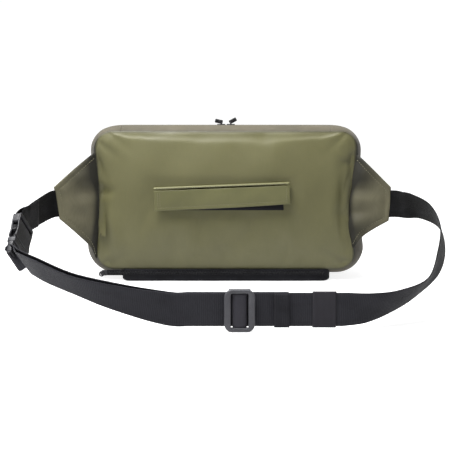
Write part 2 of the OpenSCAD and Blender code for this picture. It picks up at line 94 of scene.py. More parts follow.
def add_world(near, far):
    """White surroundings, dimmer on the viewer's side, so that the panel's roundness shows."""
    scene.world = bpy.data.worlds.new("studio")
    scene.world.use_nodes = True
    nodes, links = scene.world.node_tree.nodes, scene.world.node_tree.links
    place = nodes.new("ShaderNodeTexCoord")
    split = nodes.new("ShaderNodeSeparateXYZ")
    dim = nodes.new("ShaderNodeMapRange")
    dim.interpolation_type = "SMOOTHSTEP"
    for key, value in (("From Min", -0.45), ("From Max", 0.78), ("To Min", near), ("To Max", far)):
        dim.inputs[key].default_value = value
    links.new(place.outputs["Generated"], split.inputs[0])
    links.new(split.outputs["Y"], dim.inputs["Value"])
    nodes["Background"].inputs["Color"].default_value = (1, 1, 1, 1)
    links.new(dim.outputs["Result"], nodes["Background"].inputs["Strength"])


add_camera()
add_light("key", (-0.4, -0.34, 1.5), (0, -0.05, 0.1), 1.0, 87)
add_light("front", (-1.0, -2.4, 1.6), (0, -0.1, 0.12), 1.6, 8)
add_world(0.29, 1.03)
scene.view_settings.view_transform = "Standard"


# ---------- Materials ----------

def linear(red, green, blue):
    """A screen colour from 0 to 255, as linear light."""
    def one(c):
        c /= 255
        return c / 12.92 if c <= 0.04045 else ((c + 0.055) / 1.055) ** 2.4
    return (one(red), one(green), one(blue), 1)


class Finish:
    """A procedural material that is put together node by node."""

    def __init__(self, name, attribute=None):
        self.material = bpy.data.materials.new(name)
        self.material.use_nodes = True
        self.tree = self.material.node_tree
        self.shader = self.tree.nodes["Principled BSDF"]
        if attribute:
            self.place = self.stored(attribute, "Vector")
        else:
            self.place = self.node("TexCoord", "Object", {})

    def feed(self, socket, value):
        if isinstance(value, bpy.types.NodeSocket):
            self.tree.links.new(value, socket)
        else:
            socket.default_value = value

    def node(self, kind, output, inputs, **settings):
        """Adds a node and returns one of its outputs; an input is a value or another node's output."""
        made = self.tree.nodes.new("ShaderNode" + kind)
        for key, value in settings.items():
            setattr(made, key, value)
        for key, value in inputs.items():
            self.feed(made.inputs[key], value)
        return made.outputs[output]

    def stored(self, attribute, output):
        return self.node("Attribute", output, {}, attribute_name=attribute)

    def noise(self, size_mm, detail=4.0, stretch=(1, 1, 1), roughness=0.55):
        """Noise whose blobs are about size_mm across, from 0 to 1."""
        place = self.node("Mapping", "Vector", {"Vector": self.place, "Scale": stretch})
        return self.node("TexNoise", "Fac", {"Vector": place, "Scale": 1 / (size_mm * MM),
                                             "Detail": detail, "Roughness": roughness})

    def bands(self, pitch_mm, direction, distortion=0.6):
        """Parallel threads pitch_mm apart along one axis, from 0 to 1."""
        return self.node("TexWave", "Fac", {
            "Vector": self.place, "Scale": 2 * math.pi / 20 / (pitch_mm * MM), "Distortion": distortion,
            "Detail": 1.0, "Detail Scale": 1.5}, bands_direction=direction)

    def math(self, operation, a, b):
        return self.node("Math", 0, {0: a, 1: b}, operation=operation)

    def spread(self, value, low, high, start=0.0, end=1.0):
        """Maps start..end to low..high."""
        return self.node("MapRange", "Result", {"Value": value, "From Min": start, "From Max": end,
                                                "To Min": low, "To Max": high})

    def mix(self, share, a, b, blend="MIX"):
        return self.node("Mix", 2, {0: share, 6: a, 7: b}, data_type="RGBA", blend_type=blend)

    def weave(self, pitch_mm):
        """Threads along all three axes, so that the weave shows on faces of any direction."""
        x, y, z = (self.bands(pitch_mm, axis) for axis in "XYZ")
        return self.math("MULTIPLY", self.math("ADD", self.math("ADD", x, y), z), 0.333)

    def surface(self, colour, roughness, **fixed):
        """Sets the shader's inputs; the fixed ones are the same all over the surface."""
        self.feed(self.shader.inputs["Base Color"], colour)
        self.feed(self.shader.inputs["Roughness"], roughness)
        for key, value in fixed.items():
            self.shader.inputs[key.replace("_", " ")].default_value = value

    def raised(self, *heights, strength=0.7):
        """Adds the bump from (value, height in millimetres) pairs and returns the material."""
        height = 0.0
        for value, height_mm in heights:
            height = self.math("ADD", height, self.math("MULTIPLY", value, height_mm * MM))
        normal = self.node("Bump", "Normal", {"Strength": strength, "Distance": 1.0, "Height": height})
        self.feed(self.shader.inputs["Normal"], normal)
        return self.material


def fabric(name, dark, light, pitch, thread=0.08, rough=(0.6, 0.75), sheen=0.1, specular=0.35, cloud=55,
           depth=0.12, shaded=False):
    """Woven cloth: cloudy colour, threads, slubs and a little sheen; shaded cloth reads its stored painted
    shade.
    """
    f = Finish(name)
    base = f.mix(f.spread(f.noise(cloud, 5), 0, 1, 0.32, 0.68), linear(*dark), linear(*light))
    threads = f.weave(pitch)
    slubs = f.noise(pitch * 6, 3, (1, 1, 0.25))
    shade = f.math("ADD", f.spread(threads, 1 - depth, 1 + depth * 0.8), f.spread(slubs, -0.05, 0.05))
    # Painted shade: shaded cloth multiplies its colour by the stored painted shade.
    if shaded:
        shade = f.math("MULTIPLY", shade, f.stored("painted_shade", "Fac"))
    f.surface(f.mix(1.0, base, shade, "MULTIPLY"), f.spread(f.noise(18, 4), *rough, 0.3, 0.7),
              Sheen_Weight=sheen, Sheen_Roughness=0.5, Specular_IOR_Level=specular)
    return f.raised((threads, thread), (slubs, thread * 0.8), (f.noise(14, 3), 0.12))


def webbing(name, dark, light, rib=2.1):
    """Flat woven webbing: ribs across the strap, finer warp ends along it, and painted shade near its start
    that lightens further along it.
    """
    f = Finish(name, "cloth")
    picks = f.math("MULTIPLY", f.bands(rib, "X", 0.35), f.spread(f.bands(1.15, "Y", 0.3), 0.6, 1.0))
    clouds = f.spread(f.noise(30, 5, (1, 2, 1)), -0.2, 0.2, 0.3, 0.7)
    # Painted shade: darkest up to 0.1 m along the cloth places and lighter by 0.4 m; the straps start at
    # the wings, where shade falls.
    painted_shade_along = f.spread(f.node("SeparateXYZ", "X", {0: f.place}), 0.0, 1.0, 0.1, 0.4)
    base = f.mix(f.math("ADD", clouds, painted_shade_along), linear(*dark), linear(*light))
    fuzz = f.noise(1.4, 3)
    shade = f.math("ADD", f.spread(picks, 0.78, 1.18), f.spread(fuzz, -0.1, 0.1))
    f.surface(f.mix(1.0, base, shade, "MULTIPLY"), f.spread(fuzz, 0.62, 0.85, 0.3, 0.7),
              Sheen_Weight=0.02, Sheen_Roughness=0.45, Specular_IOR_Level=0.08)
    return f.raised((picks, 0.28), (fuzz, 0.06), strength=0.8)


def plastic(name, dark, light, rough, grain=0.03, metal=0.0):
    """Moulded plastic or painted metal: fine grain, faint flow marks and rubbed patches."""
    f = Finish(name)
    base = f.mix(f.spread(f.noise(16, 6), 0, 1, 0.35, 0.65), linear(*dark), linear(*light))
    rubbed = f.spread(f.noise(5, 6, (1, 1, 2), 0.7), 0, 1, 0.58, 0.72)
    bright = linear(*[min(255, c * 1.45) for c in light])
    f.surface(f.mix(f.math("MULTIPLY", rubbed, 0.35), base, bright),
              f.spread(f.noise(2.5, 5), *rough, 0.3, 0.7), Metallic=metal, Specular_IOR_Level=0.3)
    return f.raised((f.noise(0.7, 3), grain), (f.noise(9, 2), 0.05), strength=0.6)


def foam(name, dark, light):
    f = Finish(name)
    cells = f.noise(1.6, 5, (1, 1, 1), 0.7)
    f.surface(f.mix(f.spread(cells, 0, 1, 0.3, 0.7), linear(*dark), linear(*light)),
              f.spread(cells, 0.8, 0.95), Specular_IOR_Level=0.2)
    return f.raised((cells, 0.4))


# Cloth made with shaded=True reads the stored painted shade.
COATED = {"pitch": 0.6, "thread": 0.003, "rough": (0.44, 0.56), "sheen": 0.02, "specular": 0.34,
          "depth": 0.02}
NYLON = {"pitch": 0.9, "thread": 0.03, "rough": (0.6, 0.8), "depth": 0.1, "shaded": True}
panel_cloth = fabric("panel_cloth", (77, 75, 47), (84, 82, 53), cloud=90, shaded=True, **COATED)
flap_cloth = fabric("flap_cloth", (77, 76, 46), (84, 83, 52), cloud=60, **COATED)
gusset_cloth = fabric("gusset_cloth", (57, 53, 40), (66, 61, 47), sheen=0.05, specular=0.26, cloud=40,
                      **NYLON)
wing_cloth = fabric("wing_cloth", (72, 69, 53), (82, 79, 61), sheen=0.04, specular=0.25, cloud=38,
                    **NYLON)
base_cloth = fabric("base_cloth", (14, 14, 17), (20, 20, 24), 1.1, 0.06, (0.6, 0.8), 0.0, 0.12, 30)
lining_cloth = fabric("lining_cloth", (50, 50, 46), (60, 60, 55), 0.8, 0.06)
sack_cloth = fabric("sack_cloth", (170, 62, 38), (190, 76, 48), 0.7, 0.08, (0.55, 0.7), 0.1)
tape_cloth = fabric("tape_cloth", (17, 17, 19), (24, 24, 27), 0.8, 0.06, (0.7, 0.85), 0.0, 0.1)
binding_cloth = fabric("binding_cloth", (30, 30, 32), (42, 42, 44), 1.3, 0.15)
# The dark colour is painted shade, used where the straps start at the wings.
belt_web = webbing("belt_web", (7, 7, 8), (38, 38, 42))
keeper_web = webbing("keeper_web", (42, 41, 45), (50, 49, 54), 1.3)
thread_olive = fabric("thread_olive", (82, 80, 58), (98, 95, 72), 0.5, 0.05)
buckle_plastic = plastic("buckle_plastic", (24, 24, 27), (34, 34, 38), (0.42, 0.6))
slider_plastic = plastic("slider_plastic", (50, 50, 54), (62, 62, 66), (0.42, 0.6))
coil_nylon = plastic("coil_nylon", (14, 14, 16), (22, 22, 25), (0.4, 0.55))
slider_metal = plastic("slider_metal", (24, 24, 27), (38, 38, 42), (0.34, 0.5), 0.01, 0.3)
pull_rubber = plastic("pull_rubber", (16, 16, 18), (27, 27, 30), (0.55, 0.72), 0.05)
foam_grey = foam("foam_grey", (58, 58, 60), (84, 84, 86))
foam_cream = foam("foam_cream", (205, 196, 168), (228, 220, 196))
board_plastic = plastic("board_plastic", (118, 118, 112), (140, 140, 134), (0.5, 0.65))

CARRIED_OVER = {
    "base_board": board_plastic, "throw_sack": sack_cloth, "sack_float_foam": foam_cream,
    "sack_collar": binding_cloth, "sack_grab_loop": binding_cloth, "pocket_bag": lining_cloth,
    "top_zip_stops": slider_metal,
}
for carried_node, carried_material in CARRIED_OVER.items():
    for carried_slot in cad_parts[carried_node].material_slots:
        carried_slot.link = "OBJECT"
        carried_slot.material = carried_material


# ---------- Mesh helpers ----------

def make_object(name, mesh, material):
    mesh.materials.clear()
    mesh.materials.append(material)
    made = bpy.data.objects.new(name, mesh)
    scene.collection.objects.link(made)
    return made


def clean(mesh, weld=False):
    """Turns a closed mesh's faces outward; weld first joins points that coincide."""
    work = bmesh.new()
    work.from_mesh(mesh)
    if weld:
        bmesh.ops.remove_doubles(work, verts=work.verts, dist=1e-6)
    bmesh.ops.recalc_face_normals(work, faces=work.faces)
    work.to_mesh(mesh)
    work.free()


def make_mesh(name, points, faces, closed=True):
    mesh = bpy.data.meshes.new(name)
    mesh.from_pydata((np.asarray(points) * MM).tolist(), [], [tuple(int(i) for i in f) for f in faces])
    if closed:
        clean(mesh)
    mesh.polygons.foreach_set("use_smooth", np.ones(len(mesh.polygons), bool))
    return mesh


def solid(name, points, faces, material, closed=True):
    return make_object(name, make_mesh(name, points, faces, closed), material)


def mesh_points(made):
    return np.array([v.co for v in made.data.vertices]) / MM


def evaluated(made):
    return made.evaluated_get(bpy.context.evaluated_depsgraph_get())


def settle(made, levels=1, thickness=0.0):
    """Subdivides a mesh for good and, where a thickness in millimetres is given, thickens it inward."""
    smooth = made.modifiers.new("smooth", "SUBSURF")
    smooth.levels = smooth.render_levels = levels
    if thickness:
        skin = made.modifiers.new("skin", "SOLIDIFY")
        skin.thickness = thickness * MM
        skin.offset = -1
    mesh = bpy.data.meshes.new_from_object(evaluated(made))
    made.modifiers.clear()
    made.data = mesh


def sharpen(made, degrees=38):
    made.data.polygons.foreach_set("use_smooth", np.ones(len(made.data.polygons), bool))
    made.data.set_sharp_from_angle(angle=math.radians(degrees))


def join(name, parts):
    """Joins parts of one body and one material into a piece with crisp edges."""
    material = parts[0].data.materials[0]
    work = bmesh.new()
    for part in parts:
        work.from_mesh(part.data)
        bpy.data.objects.remove(part)
    mesh = bpy.data.meshes.new(name)
    work.to_mesh(mesh)
    work.free()
    made = make_object(name, mesh, material)
    sharpen(made)
    return made


def store_painted_shade(made, painted_shade, lightest):
    """Stores the painted shade of shaded cloth; 1 is its plain colour and less is darker."""
    layer = made.data.attributes.new("painted_shade", "FLOAT", "POINT")
    layer.data.foreach_set("value", np.clip(painted_shade, 0.12, lightest).astype(np.float32))


def store_cloth(mesh, places):
    """Stores where each point of a piece of webbing is: along it, across it and through it."""
    layer = mesh.attributes.new("cloth", "FLOAT_VECTOR", "POINT")
    layer.data.foreach_set("vector", (np.asarray(places) * MM).astype(np.float32).ravel())


def hand_over(made, body, slot_name, *nodes):
    """Rides a piece on its body and lets it stand for its CAD nodes."""
    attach(made, body)
    if nodes:
        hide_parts(*nodes)
    return made


def resample(points, fractions):
    points = np.asarray(points, float)
    steps = np.linalg.norm(np.diff(points, axis=0)[:, :3], axis=1)
    at = np.concatenate([[0], np.cumsum(steps)]) / steps.sum()
    return np.stack([np.interp(fractions, at, points[:, k]) for k in range(points.shape[1])], axis=1)


def smooth_line(points, per_span=8):
    """A Catmull-Rom curve through rows of numbers."""
    p = np.asarray(points, float)
    p = np.vstack([2 * p[0] - p[1], p, 2 * p[-1] - p[-2]])
    out = []
    for i in range(1, len(p) - 2):
        a, b, c, d = p[i - 1:i + 3]
        for t in np.arange(per_span) / per_span:
            out.append(0.5 * (2 * b + (c - a) * t + (2 * a - 5 * b + 4 * c - d) * t ** 2
                              + (3 * b - a - 3 * c + d) * t ** 3))
    return np.array(out + [p[-2]])


def even_line(points, step):
    length = np.linalg.norm(np.diff(points, axis=0)[:, :3], axis=1).sum()
    return resample(points, np.linspace(0, 1, max(2, int(round(length / step))) + 1))


def crowded(n, ends):
    """n + 1 values from 0 to 1, closer together at both ends."""
    t = np.linspace(0, 1, n + 1)
    return t - ends * np.sin(2 * np.pi * t) / (2 * np.pi)


def coons(low, high, left, right, s, t):
    """A patch between four sides: low and high run along s, left and right along t."""
    u, v = s[:, None, None], t[None, :, None]
    ruled = (1 - v) * low[:, None] + v * high[:, None] + (1 - u) * left[None] + u * right[None]
    return ruled - ((1 - u) * (1 - v) * low[0] + u * (1 - v) * low[-1]
                    + (1 - u) * v * high[0] + u * v * high[-1])


def unit(v):
    v = np.asarray(v, float)
    return v / np.linalg.norm(v, axis=-1, keepdims=True)


def grid_faces(rows, cols, start=0):
    r, c = np.meshgrid(np.arange(rows - 1), np.arange(cols - 1), indexing="ij")
    i = (start + r * cols + c).ravel()
    return np.stack([i, i + cols, i + cols + 1, i + 1], axis=1)


def slab(grid, half):
    """A closed cloth sheet round a grid of middle points; half is its half thickness at each point."""
    rows, cols = grid.shape[:2]
    normal = unit(np.cross(np.gradient(grid, axis=0), np.gradient(grid, axis=1)))
    half = np.broadcast_to(half, (rows, cols))[..., None]
    points = np.vstack([(grid + normal * half).reshape(-1, 3), (grid - normal * half).reshape(-1, 3)])
    n = rows * cols
    front = grid_faces(rows, cols)
    back = grid_faces(rows, cols, n)[:, ::-1]
    ring = np.concatenate([np.arange(cols), np.arange(2, rows) * cols - 1,
                           np.arange(n - 1, n - cols - 1, -1), np.arange(rows - 2, 0, -1) * cols])
    after = np.roll(ring, -1)
    rim = np.stack([ring, after, after + n, ring + n], axis=1)
    return points, np.vstack([front, back, rim])


def loft(sections, cap=True):
    """A skin through rings of points, with both ends closed by a cap; sections is rings x points x 3."""
    rings, count = sections.shape[:2]
    row = np.arange(count)
    after = np.roll(row, -1)
    faces = []
    for start in range(0, (rings - 1) * count, count):
        faces.extend((start + np.stack([row, after, after + count, row + count], axis=1)).tolist())
    if cap:
        faces.append(row.tolist())
        faces.append((row[::-1] + (rings - 1) * count).tolist())
    return sections.reshape(-1, 3), faces


def pile(lofts):
    """One skin that holds many small closed lofts, each a list of rings."""
    points, faces = [], []
    for sections in lofts:
        skin, quads = loft(np.array(sections))
        faces.extend([[len(points) + i for i in face] for face in quads])
        points.extend(skin)
    return points, faces


def rounded_loop(w, h, r, cx=0.0, cy=0.0, steps=5):
    """A rounded rectangle in the plane."""
    out = []
    for sx, sy, start in ((1, 1, 0), (-1, 1, 90), (-1, -1, 180), (1, -1, 270)):
        for k in range(steps + 1):
            a = math.radians(start + 90 * k / steps)
            out.append((cx + sx * (w / 2 - r) + r * math.cos(a), cy + sy * (h / 2 - r) + r * math.sin(a)))
    return out


def in_metres(matrix):
    scaled = matrix.copy()
    scaled.translation = scaled.translation * MM
    return scaled


def plate(name, loops, thickness, rounding, material, place):
    """A flat moulding with rounded edges: closed loops in the XY plane of place, holes included."""
    curve = bpy.data.curves.new(name, "CURVE")
    curve.dimensions = "2D"
    curve.fill_mode = "BOTH"
    for points in loops:
        spline = curve.splines.new("POLY")
        spline.points.add(len(points) - 1)
        for point, (x, y) in zip(spline.points, points):
            point.co = (x * MM, y * MM, 0, 1)
        spline.use_cyclic_u = True
    curve.extrude = (thickness / 2 - rounding) * MM
    curve.bevel_depth = rounding * MM
    curve.offset = -rounding * MM
    curve.bevel_resolution = 2
    source = bpy.data.objects.new(name, curve)
    scene.collection.objects.link(source)
    mesh = bpy.data.meshes.new_from_object(evaluated(source))
    bpy.data.objects.remove(source)
    clean(mesh, weld=True)
    mesh.transform(in_metres(place))
    made = make_object(name, mesh, material)
    sharpen(made)
    return made


def mouldings(rows, material, place):
    """Upright plates; each row is (loops in the XZ plane of place, thickness, rounding, y)."""
    parts = []
    for loops, thickness, rounding, y in rows:
        stand = Matrix.Translation((0, y, 0)) @ UPRIGHT
        parts.append(plate("moulding", loops, thickness, rounding, material, place @ stand))
    return parts


def tube(name, points, radius, material, closed=False, sides=8):
    """A round bar or cord along points; radius is one number or one for each point."""
    points = np.asarray(points, float)
    steps = np.roll(points, -1, 0) - np.roll(points, 1, 0) if closed else np.gradient(points, axis=0)
    ahead = unit(steps)
    angles = np.arange(sides)[:, None] * 2 * np.pi / sides
    normal = np.cross(ahead[0], [0.3, 0.5, 0.81])
    rings = []
    for point, forward, r in zip(points, ahead, np.broadcast_to(radius, len(points))):
        normal = unit(normal - forward * (normal @ forward))
        rings.append(point + r * (np.cos(angles) * normal + np.sin(angles) * np.cross(forward, normal)))
    if not closed:
        return solid(name, *loft(np.array(rings)), material)
    skin, faces = loft(np.array(rings + rings[:1]), cap=False)
    keep = len(points) * sides
    return solid(name, skin[:keep], [[i % keep for i in face] for face in faces], material)


STITCH_RINGS = ((-1, 0.35), (-0.55, 1), (0.55, 1), (1, 0.35))
STITCH_SIDES = 5


def stitches(name, lines, outward, pitch, length, radius):
    """Separate sewn stitches along lines, pitch apart, on cloth that faces outward."""
    out = unit(outward)
    angles = np.arange(STITCH_SIDES)[:, None] * 2 * np.pi / STITCH_SIDES
    sewn = []
    for line in lines:
        even = even_line(line, pitch)
        for a, b in zip(even[:-1], even[1:]):
            ahead = unit(b - a)
            ring = radius * (np.cos(angles) * np.cross(ahead, out) + 0.8 * np.sin(angles) * out)
            sewn.append([(a + b) / 2 + ahead * along * length / 2 + thick * ring
                         + out * radius * (0.35 - 0.5 * along * along) for along, thick in STITCH_RINGS])
    return solid(name, *pile(sewn), thread_olive)


def bump_at(x, z, cx, cz, rx, rz, turn=0.0):
    """A soft round-topped patch, 1 at its middle, turned by an angle in degrees."""
    a = math.radians(turn)
    u = (x - cx) * math.cos(a) + (z - cz) * math.sin(a)
    v = -(x - cx) * math.sin(a) + (z - cz) * math.cos(a)
    return np.exp(-(u / rx) ** 2 - (v / rz) ** 2)


def crease(x, z, x0, z0, x1, z1, width):
    """A narrow fold from one point to another that fades towards its far end."""
    dx, dz = x1 - x0, z1 - z0
    length = math.hypot(dx, dz)
    t = ((x - x0) * dx + (z - z0) * dz) / length ** 2
    across = ((x - x0) * dz - (z - z0) * dx) / length
    fade = np.clip(1 - t, 0, 1) ** 1.2 * np.clip(1 + t * length / (2 * width), 0, 1)
    return np.exp(-(across / width) ** 2) * fade


def relief(x, z, rows):
    """The sum of rows of (height, bump_at or crease, its numbers)."""
    return sum(height * shape(x, z, *numbers) for height, shape, *numbers in rows)


# ---------- Pouch shell ----------

back_low, back_high = cad_box_mm("back_panel")
HALF_W = back_high[0]
HALF_D = -back_high[1]
CROWN = -back_low[1] - HALF_D
Z_LOW, Z_HIGH = back_low[2], back_high[2]
Z_MID = (Z_LOW + Z_HIGH) / 2
CORNER = 27.0
BASE_END = 150.0
POCKET_X, POCKET_Z = -6.5, 122.0
POCKET_HALF_W, POCKET_HALF_H = 98.0, 26.0
POCKET_EASE = 0.2
NX, NZ = 84, 46
SKIN = 1.6
UPRIGHT = Matrix.Rotation(math.radians(90), 4, "X")


def arc(cx, cz, start, end, steps=8):
    a = np.radians(np.linspace(start, end, steps + 1))
    return np.stack([cx + CORNER * np.cos(a), cz + CORNER * np.sin(a)], axis=1)


def seam_sides():
    """The seam's four sides between the middles of its round corners: bottom, right, top, left."""
    x, low, high = HALF_W - CORNER, Z_LOW + CORNER, Z_HIGH - CORNER
    bottom = np.vstack([arc(-x, low, 225, 270), arc(x, low, 270, 315)])
    right = np.vstack([arc(x, low, 315, 360), arc(x, high, 0, 45)])
    top = np.vstack([arc(-x, high, 135, 90), arc(x, high, 90, 45)])
    left = np.vstack([arc(-x, low, 225, 180), arc(-x, high, 180, 135)])
    return bottom, right, top, left


def pulled_in(x, z):
    """How far the belt's pull draws the side seams in, as a shift along X."""
    left = 4.5 * np.exp(-((z - 131) / 26) ** 2)
    right = -9.5 * np.exp(-((z - 104) / 46) ** 2)
    return np.where(x < 0, left, right) * (np.abs(x) / HALF_W) ** 5


S = crowded(NX, 0.62)
T = crowded(NZ, 0.62)
bottom, right, top, left = seam_sides()
seam_grid = coons(resample(bottom, S), resample(top, S), resample(left, T), resample(right, T), S, T)


LEFT_TUCK, RIGHT_TUCK = (-184, 131), (181, 97)
BACK_FOLDS = [
    (-3.6, bump_at, -181, 131, 9, 9),
    (-2.6, crease, *LEFT_TUCK, -150, 128, 3.2),
    (1.6, bump_at, -172, 141, 12, 6, -20),
    (1.2, bump_at, -170, 118, 12, 7, 20),
    (-5.0, bump_at, -176, 82, 8, 30, 8),
    (2.4, bump_at, -160, 70, 9, 30, 12),
    (-2.5, bump_at, -181, 165, 6, 14),
    (-2.4, bump_at, 171, 120, 8, 46, 2),
    (0.8, bump_at, 156, 125, 11, 42, 3),
    (-2.4, crease, *RIGHT_TUCK, 150, 100, 3.5),
    (-2.2, crease, 184, 168, 158, 176, 3.5),
    (-1.8, crease, 184, 182, 150, 160, 4),
    (1.0, bump_at, 168, 178, 14, 4, -30),
    (-1.5, crease, -178, 198, -140, 168, 5),
    (-1.2, crease, -160, 208, -120, 176, 6),
    (-1.3, crease, 165, 208, 128, 170, 6),
    (-0.5, bump_at, 12, 192, 6, 26, 24),
    (0.4, bump_at, 24, 190, 6, 26, 24),
    (-0.5, bump_at, 56, 188, 7, 28, 14),
    (0.4, bump_at, 70, 188, 8, 28, 14),
    (-1.4, crease, -172, 26, -130, 48, 5),
    (-1.4, crease, 172, 28, 128, 52, 5),
]
# Painted shade in the dents and creases of the wearer's side, in rows of (darkening, shape, its numbers).
BACK_PAINTED_SHADE = [
    (0.66, bump_at, -178, 80, 10, 33, 10),
    (0.3, bump_at, -182, 168, 6, 26),
    (0.6, bump_at, *LEFT_TUCK, 8, 6),
    (0.4, crease, *LEFT_TUCK, -156, 129, 3),
    (0.45, bump_at, 178, 118, 6, 52, 2),
    (0.3, crease, *RIGHT_TUCK, 152, 100, 3.5),
    (0.35, crease, 184, 168, 158, 176, 3.5),
    (0.3, crease, 184, 182, 152, 160, 4),
    (0.2, crease, -172, 26, -130, 48, 5),
    (0.2, crease, 172, 28, 128, 52, 5),
    (0.12, crease, -176, 200, -130, 166, 6),
]


def back_folds(x, z):
    """Outward height of the folds and dents of the wearer's side, which the belt and the stuffing make."""
    waves = 0.6 * np.sin(x / 31 + 0.8) * np.sin(z / 26 + 1.7) + 0.35 * np.sin(x / 13 - z / 19)
    return relief(x, z, BACK_FOLDS) + waves


def panel_rise(a, b):
    """The crowned panel's height, from 1 at its fullest to 0 at its seams; a and b run from -1 to 1."""
    sag = b + 0.1 * (1 - b * b)
    return np.clip(1 - np.abs(a) ** 3, 0, 1) * np.clip(1 - np.abs(sag) ** 2.2, 0, 1)


def panel_grid(side):
    """One large panel of the pouch; side is -1 on the wearer's side."""
    x, z = seam_grid[..., 0], seam_grid[..., 1]
    a, b = np.meshgrid(2 * S - 1, 2 * T - 1, indexing="ij")
    edge = np.clip(np.minimum((1 - np.abs(a)) * HALF_W, (1 - np.abs(b)) * (Z_MID - Z_LOW)), 0, None)
    rise = CROWN * panel_rise(a, b)
    if side < 0:
        near = np.clip(edge / 10, 0, 1)
        rise = rise + back_folds(x, z) * near * near * (3 - 2 * near)
    rise = rise + 0.2 - 0.7 * np.exp(-(edge / 3) ** 2)
    shift = pulled_in(x, z) if side < 0 else 0.35 * pulled_in(x, z)
    return np.stack([x + shift, side * (HALF_D + rise), z], axis=2)


def seam_ring(grid):
    """The panel's edge points in order round the seam, counterclockwise from bottom left."""
    return np.concatenate([grid[:-1, 0], grid[-1, :-1], grid[:0:-1, -1], grid[0, :0:-1]])


def ring_indices():
    index = np.arange(PANEL_SIZE).reshape(NX + 1, NZ + 1)
    return np.concatenate([index[:-1, 0], index[-1, :-1], index[:0:-1, -1], index[0, :0:-1]])


PANEL_SIZE = (NX + 1) * (NZ + 1)
HALF_DEPTHS = np.array([0, 0.012, 0.035, 0.08, 0.15, 0.23, 0.31, 0.37, 0.404, 0.45, 0.5])
DEPTHS = np.concatenate([HALF_DEPTHS, 1 - HALF_DEPTHS[-2::-1]])
BACK, FRONT, FIRST_BAND = 0, 1, 2
ZIP_BANDS = (8, 11)


SIDE_BULGE, LOW_BULGE, UNDER_BULGE, TOP_BULGE = 9.0, 8.0, 9.0, 6.4


def gusset_rise(x, z, nx, nz, v):
    """How far the gusset stands out of the seam line at depth v, from 0 at the back to 1 at the front."""
    low = np.clip((150 - z) / 110, 0, 1)
    side = SIDE_BULGE + LOW_BULGE * low * low * (3 - 2 * low)
    size = side + np.where(nz < 0, (UNDER_BULGE - side) * -nz, (TOP_BULGE - side) * nz)
    power = 2.4 + np.where(nz < 0, 2 * -nz, 0.8 * nz)
    soft = 0.7 * np.sin(z / 17 + 3 * v) * np.abs(nx) * np.sin(np.pi * v)
    arch = np.minimum(1, 1.03 * (1 - np.abs(2 * v - 1) ** power))
    return (size + soft) * arch - 0.9 * (np.exp(-(v / 0.02) ** 2) + np.exp(-((1 - v) / 0.02) ** 2))


def build_shell():
    """Points and faces of the whole sewn shell: two panels and the band of gusset between them."""
    back, front = panel_grid(-1), panel_grid(1)
    flat_ring = seam_ring(seam_grid)
    closed = np.vstack([flat_ring[-1:], flat_ring, flat_ring[:1]])
    along = unit(closed[2:] - closed[:-2])
    out = np.stack([along[:, 1], -along[:, 0]], axis=1)
    back_ring, front_ring = seam_ring(back), seam_ring(front)
    columns = []
    for v in DEPTHS[1:-1]:
        rise = gusset_rise(flat_ring[:, 0], flat_ring[:, 1], out[:, 0], out[:, 1], v)
        base = back_ring * (1 - v) + front_ring * v
        base[:, 0] += out[:, 0] * rise
        base[:, 2] += out[:, 1] * rise
        columns.append(base)
    band = np.array(columns)
    ring = ring_indices()
    count = len(ring)
    rows = [ring] + [2 * PANEL_SIZE + k * count + np.arange(count) for k in range(len(band))]
    rows.append(PANEL_SIZE + ring)
    points = np.vstack([back.reshape(-1, 3), front.reshape(-1, 3), band.reshape(-1, 3)])
    panel = grid_faces(NX + 1, NZ + 1)
    faces = [panel, panel[:, ::-1] + PANEL_SIZE]
    kinds = [np.full(len(panel), BACK), np.full(len(panel), FRONT)]
    for k, (a, b) in enumerate(zip(rows[:-1], rows[1:])):
        faces.append(np.stack([a, b, np.roll(b, -1), np.roll(a, -1)], axis=1))
        kinds.append(np.full(count, FIRST_BAND + k))
    return points, np.vstack(faces), np.concatenate(kinds)


CLOTH_SETTINGS = {
    "quality": 6, "mass": 0.25, "tension_stiffness": 12, "compression_stiffness": 8, "shear_stiffness": 3,
    "bending_stiffness": 0.3, "tension_damping": 12, "use_pressure": True, "shrink_min": -0.003,
    "vertex_group_mass": "held", "pin_stiffness": 0.6,
}


PRESSURE, FURTHEST, CLOTH_FRAMES = 1.2, 1.2, 16


def inflate(points, faces, held):
    """Blender's Cloth under a little inside pressure; no point moves by more than FURTHEST."""
    work = solid("inflated", points, faces, panel_cloth, closed=False)
    group = work.vertex_groups.new(name="held")
    group.add([int(i) for i in np.flatnonzero(held)], 1.0, "REPLACE")
    cloth = work.modifiers.new("cloth", "CLOTH")
    for key, value in CLOTH_SETTINGS.items():
        setattr(cloth.settings, key, value)
    cloth.settings.uniform_pressure_force = PRESSURE
    cloth.settings.effector_weights.gravity = 0
    cloth.collision_settings.use_collision = False
    for number in range(1, CLOTH_FRAMES + 1):
        scene.frame_set(number)
    shift = mesh_points(evaluated(work)) - points
    bpy.data.objects.remove(work)
    scene.frame_set(1)
    length = np.linalg.norm(shift, axis=1, keepdims=True)
    return points + shift * np.minimum(1, FURTHEST / np.maximum(length, 1e-9))


def held_points(points):
    """The base and the back pocket's patch, which the simulation leaves where they are."""
    x, y, z = points.T
    base = (z < Z_LOW + 1.5) & (np.abs(x) < BASE_END)
    pocket = (y < -HALF_D - 4) & (np.abs(x - POCKET_X) < POCKET_HALF_W + 4) & (z > 100) & (z < 148)
    return base | pocket


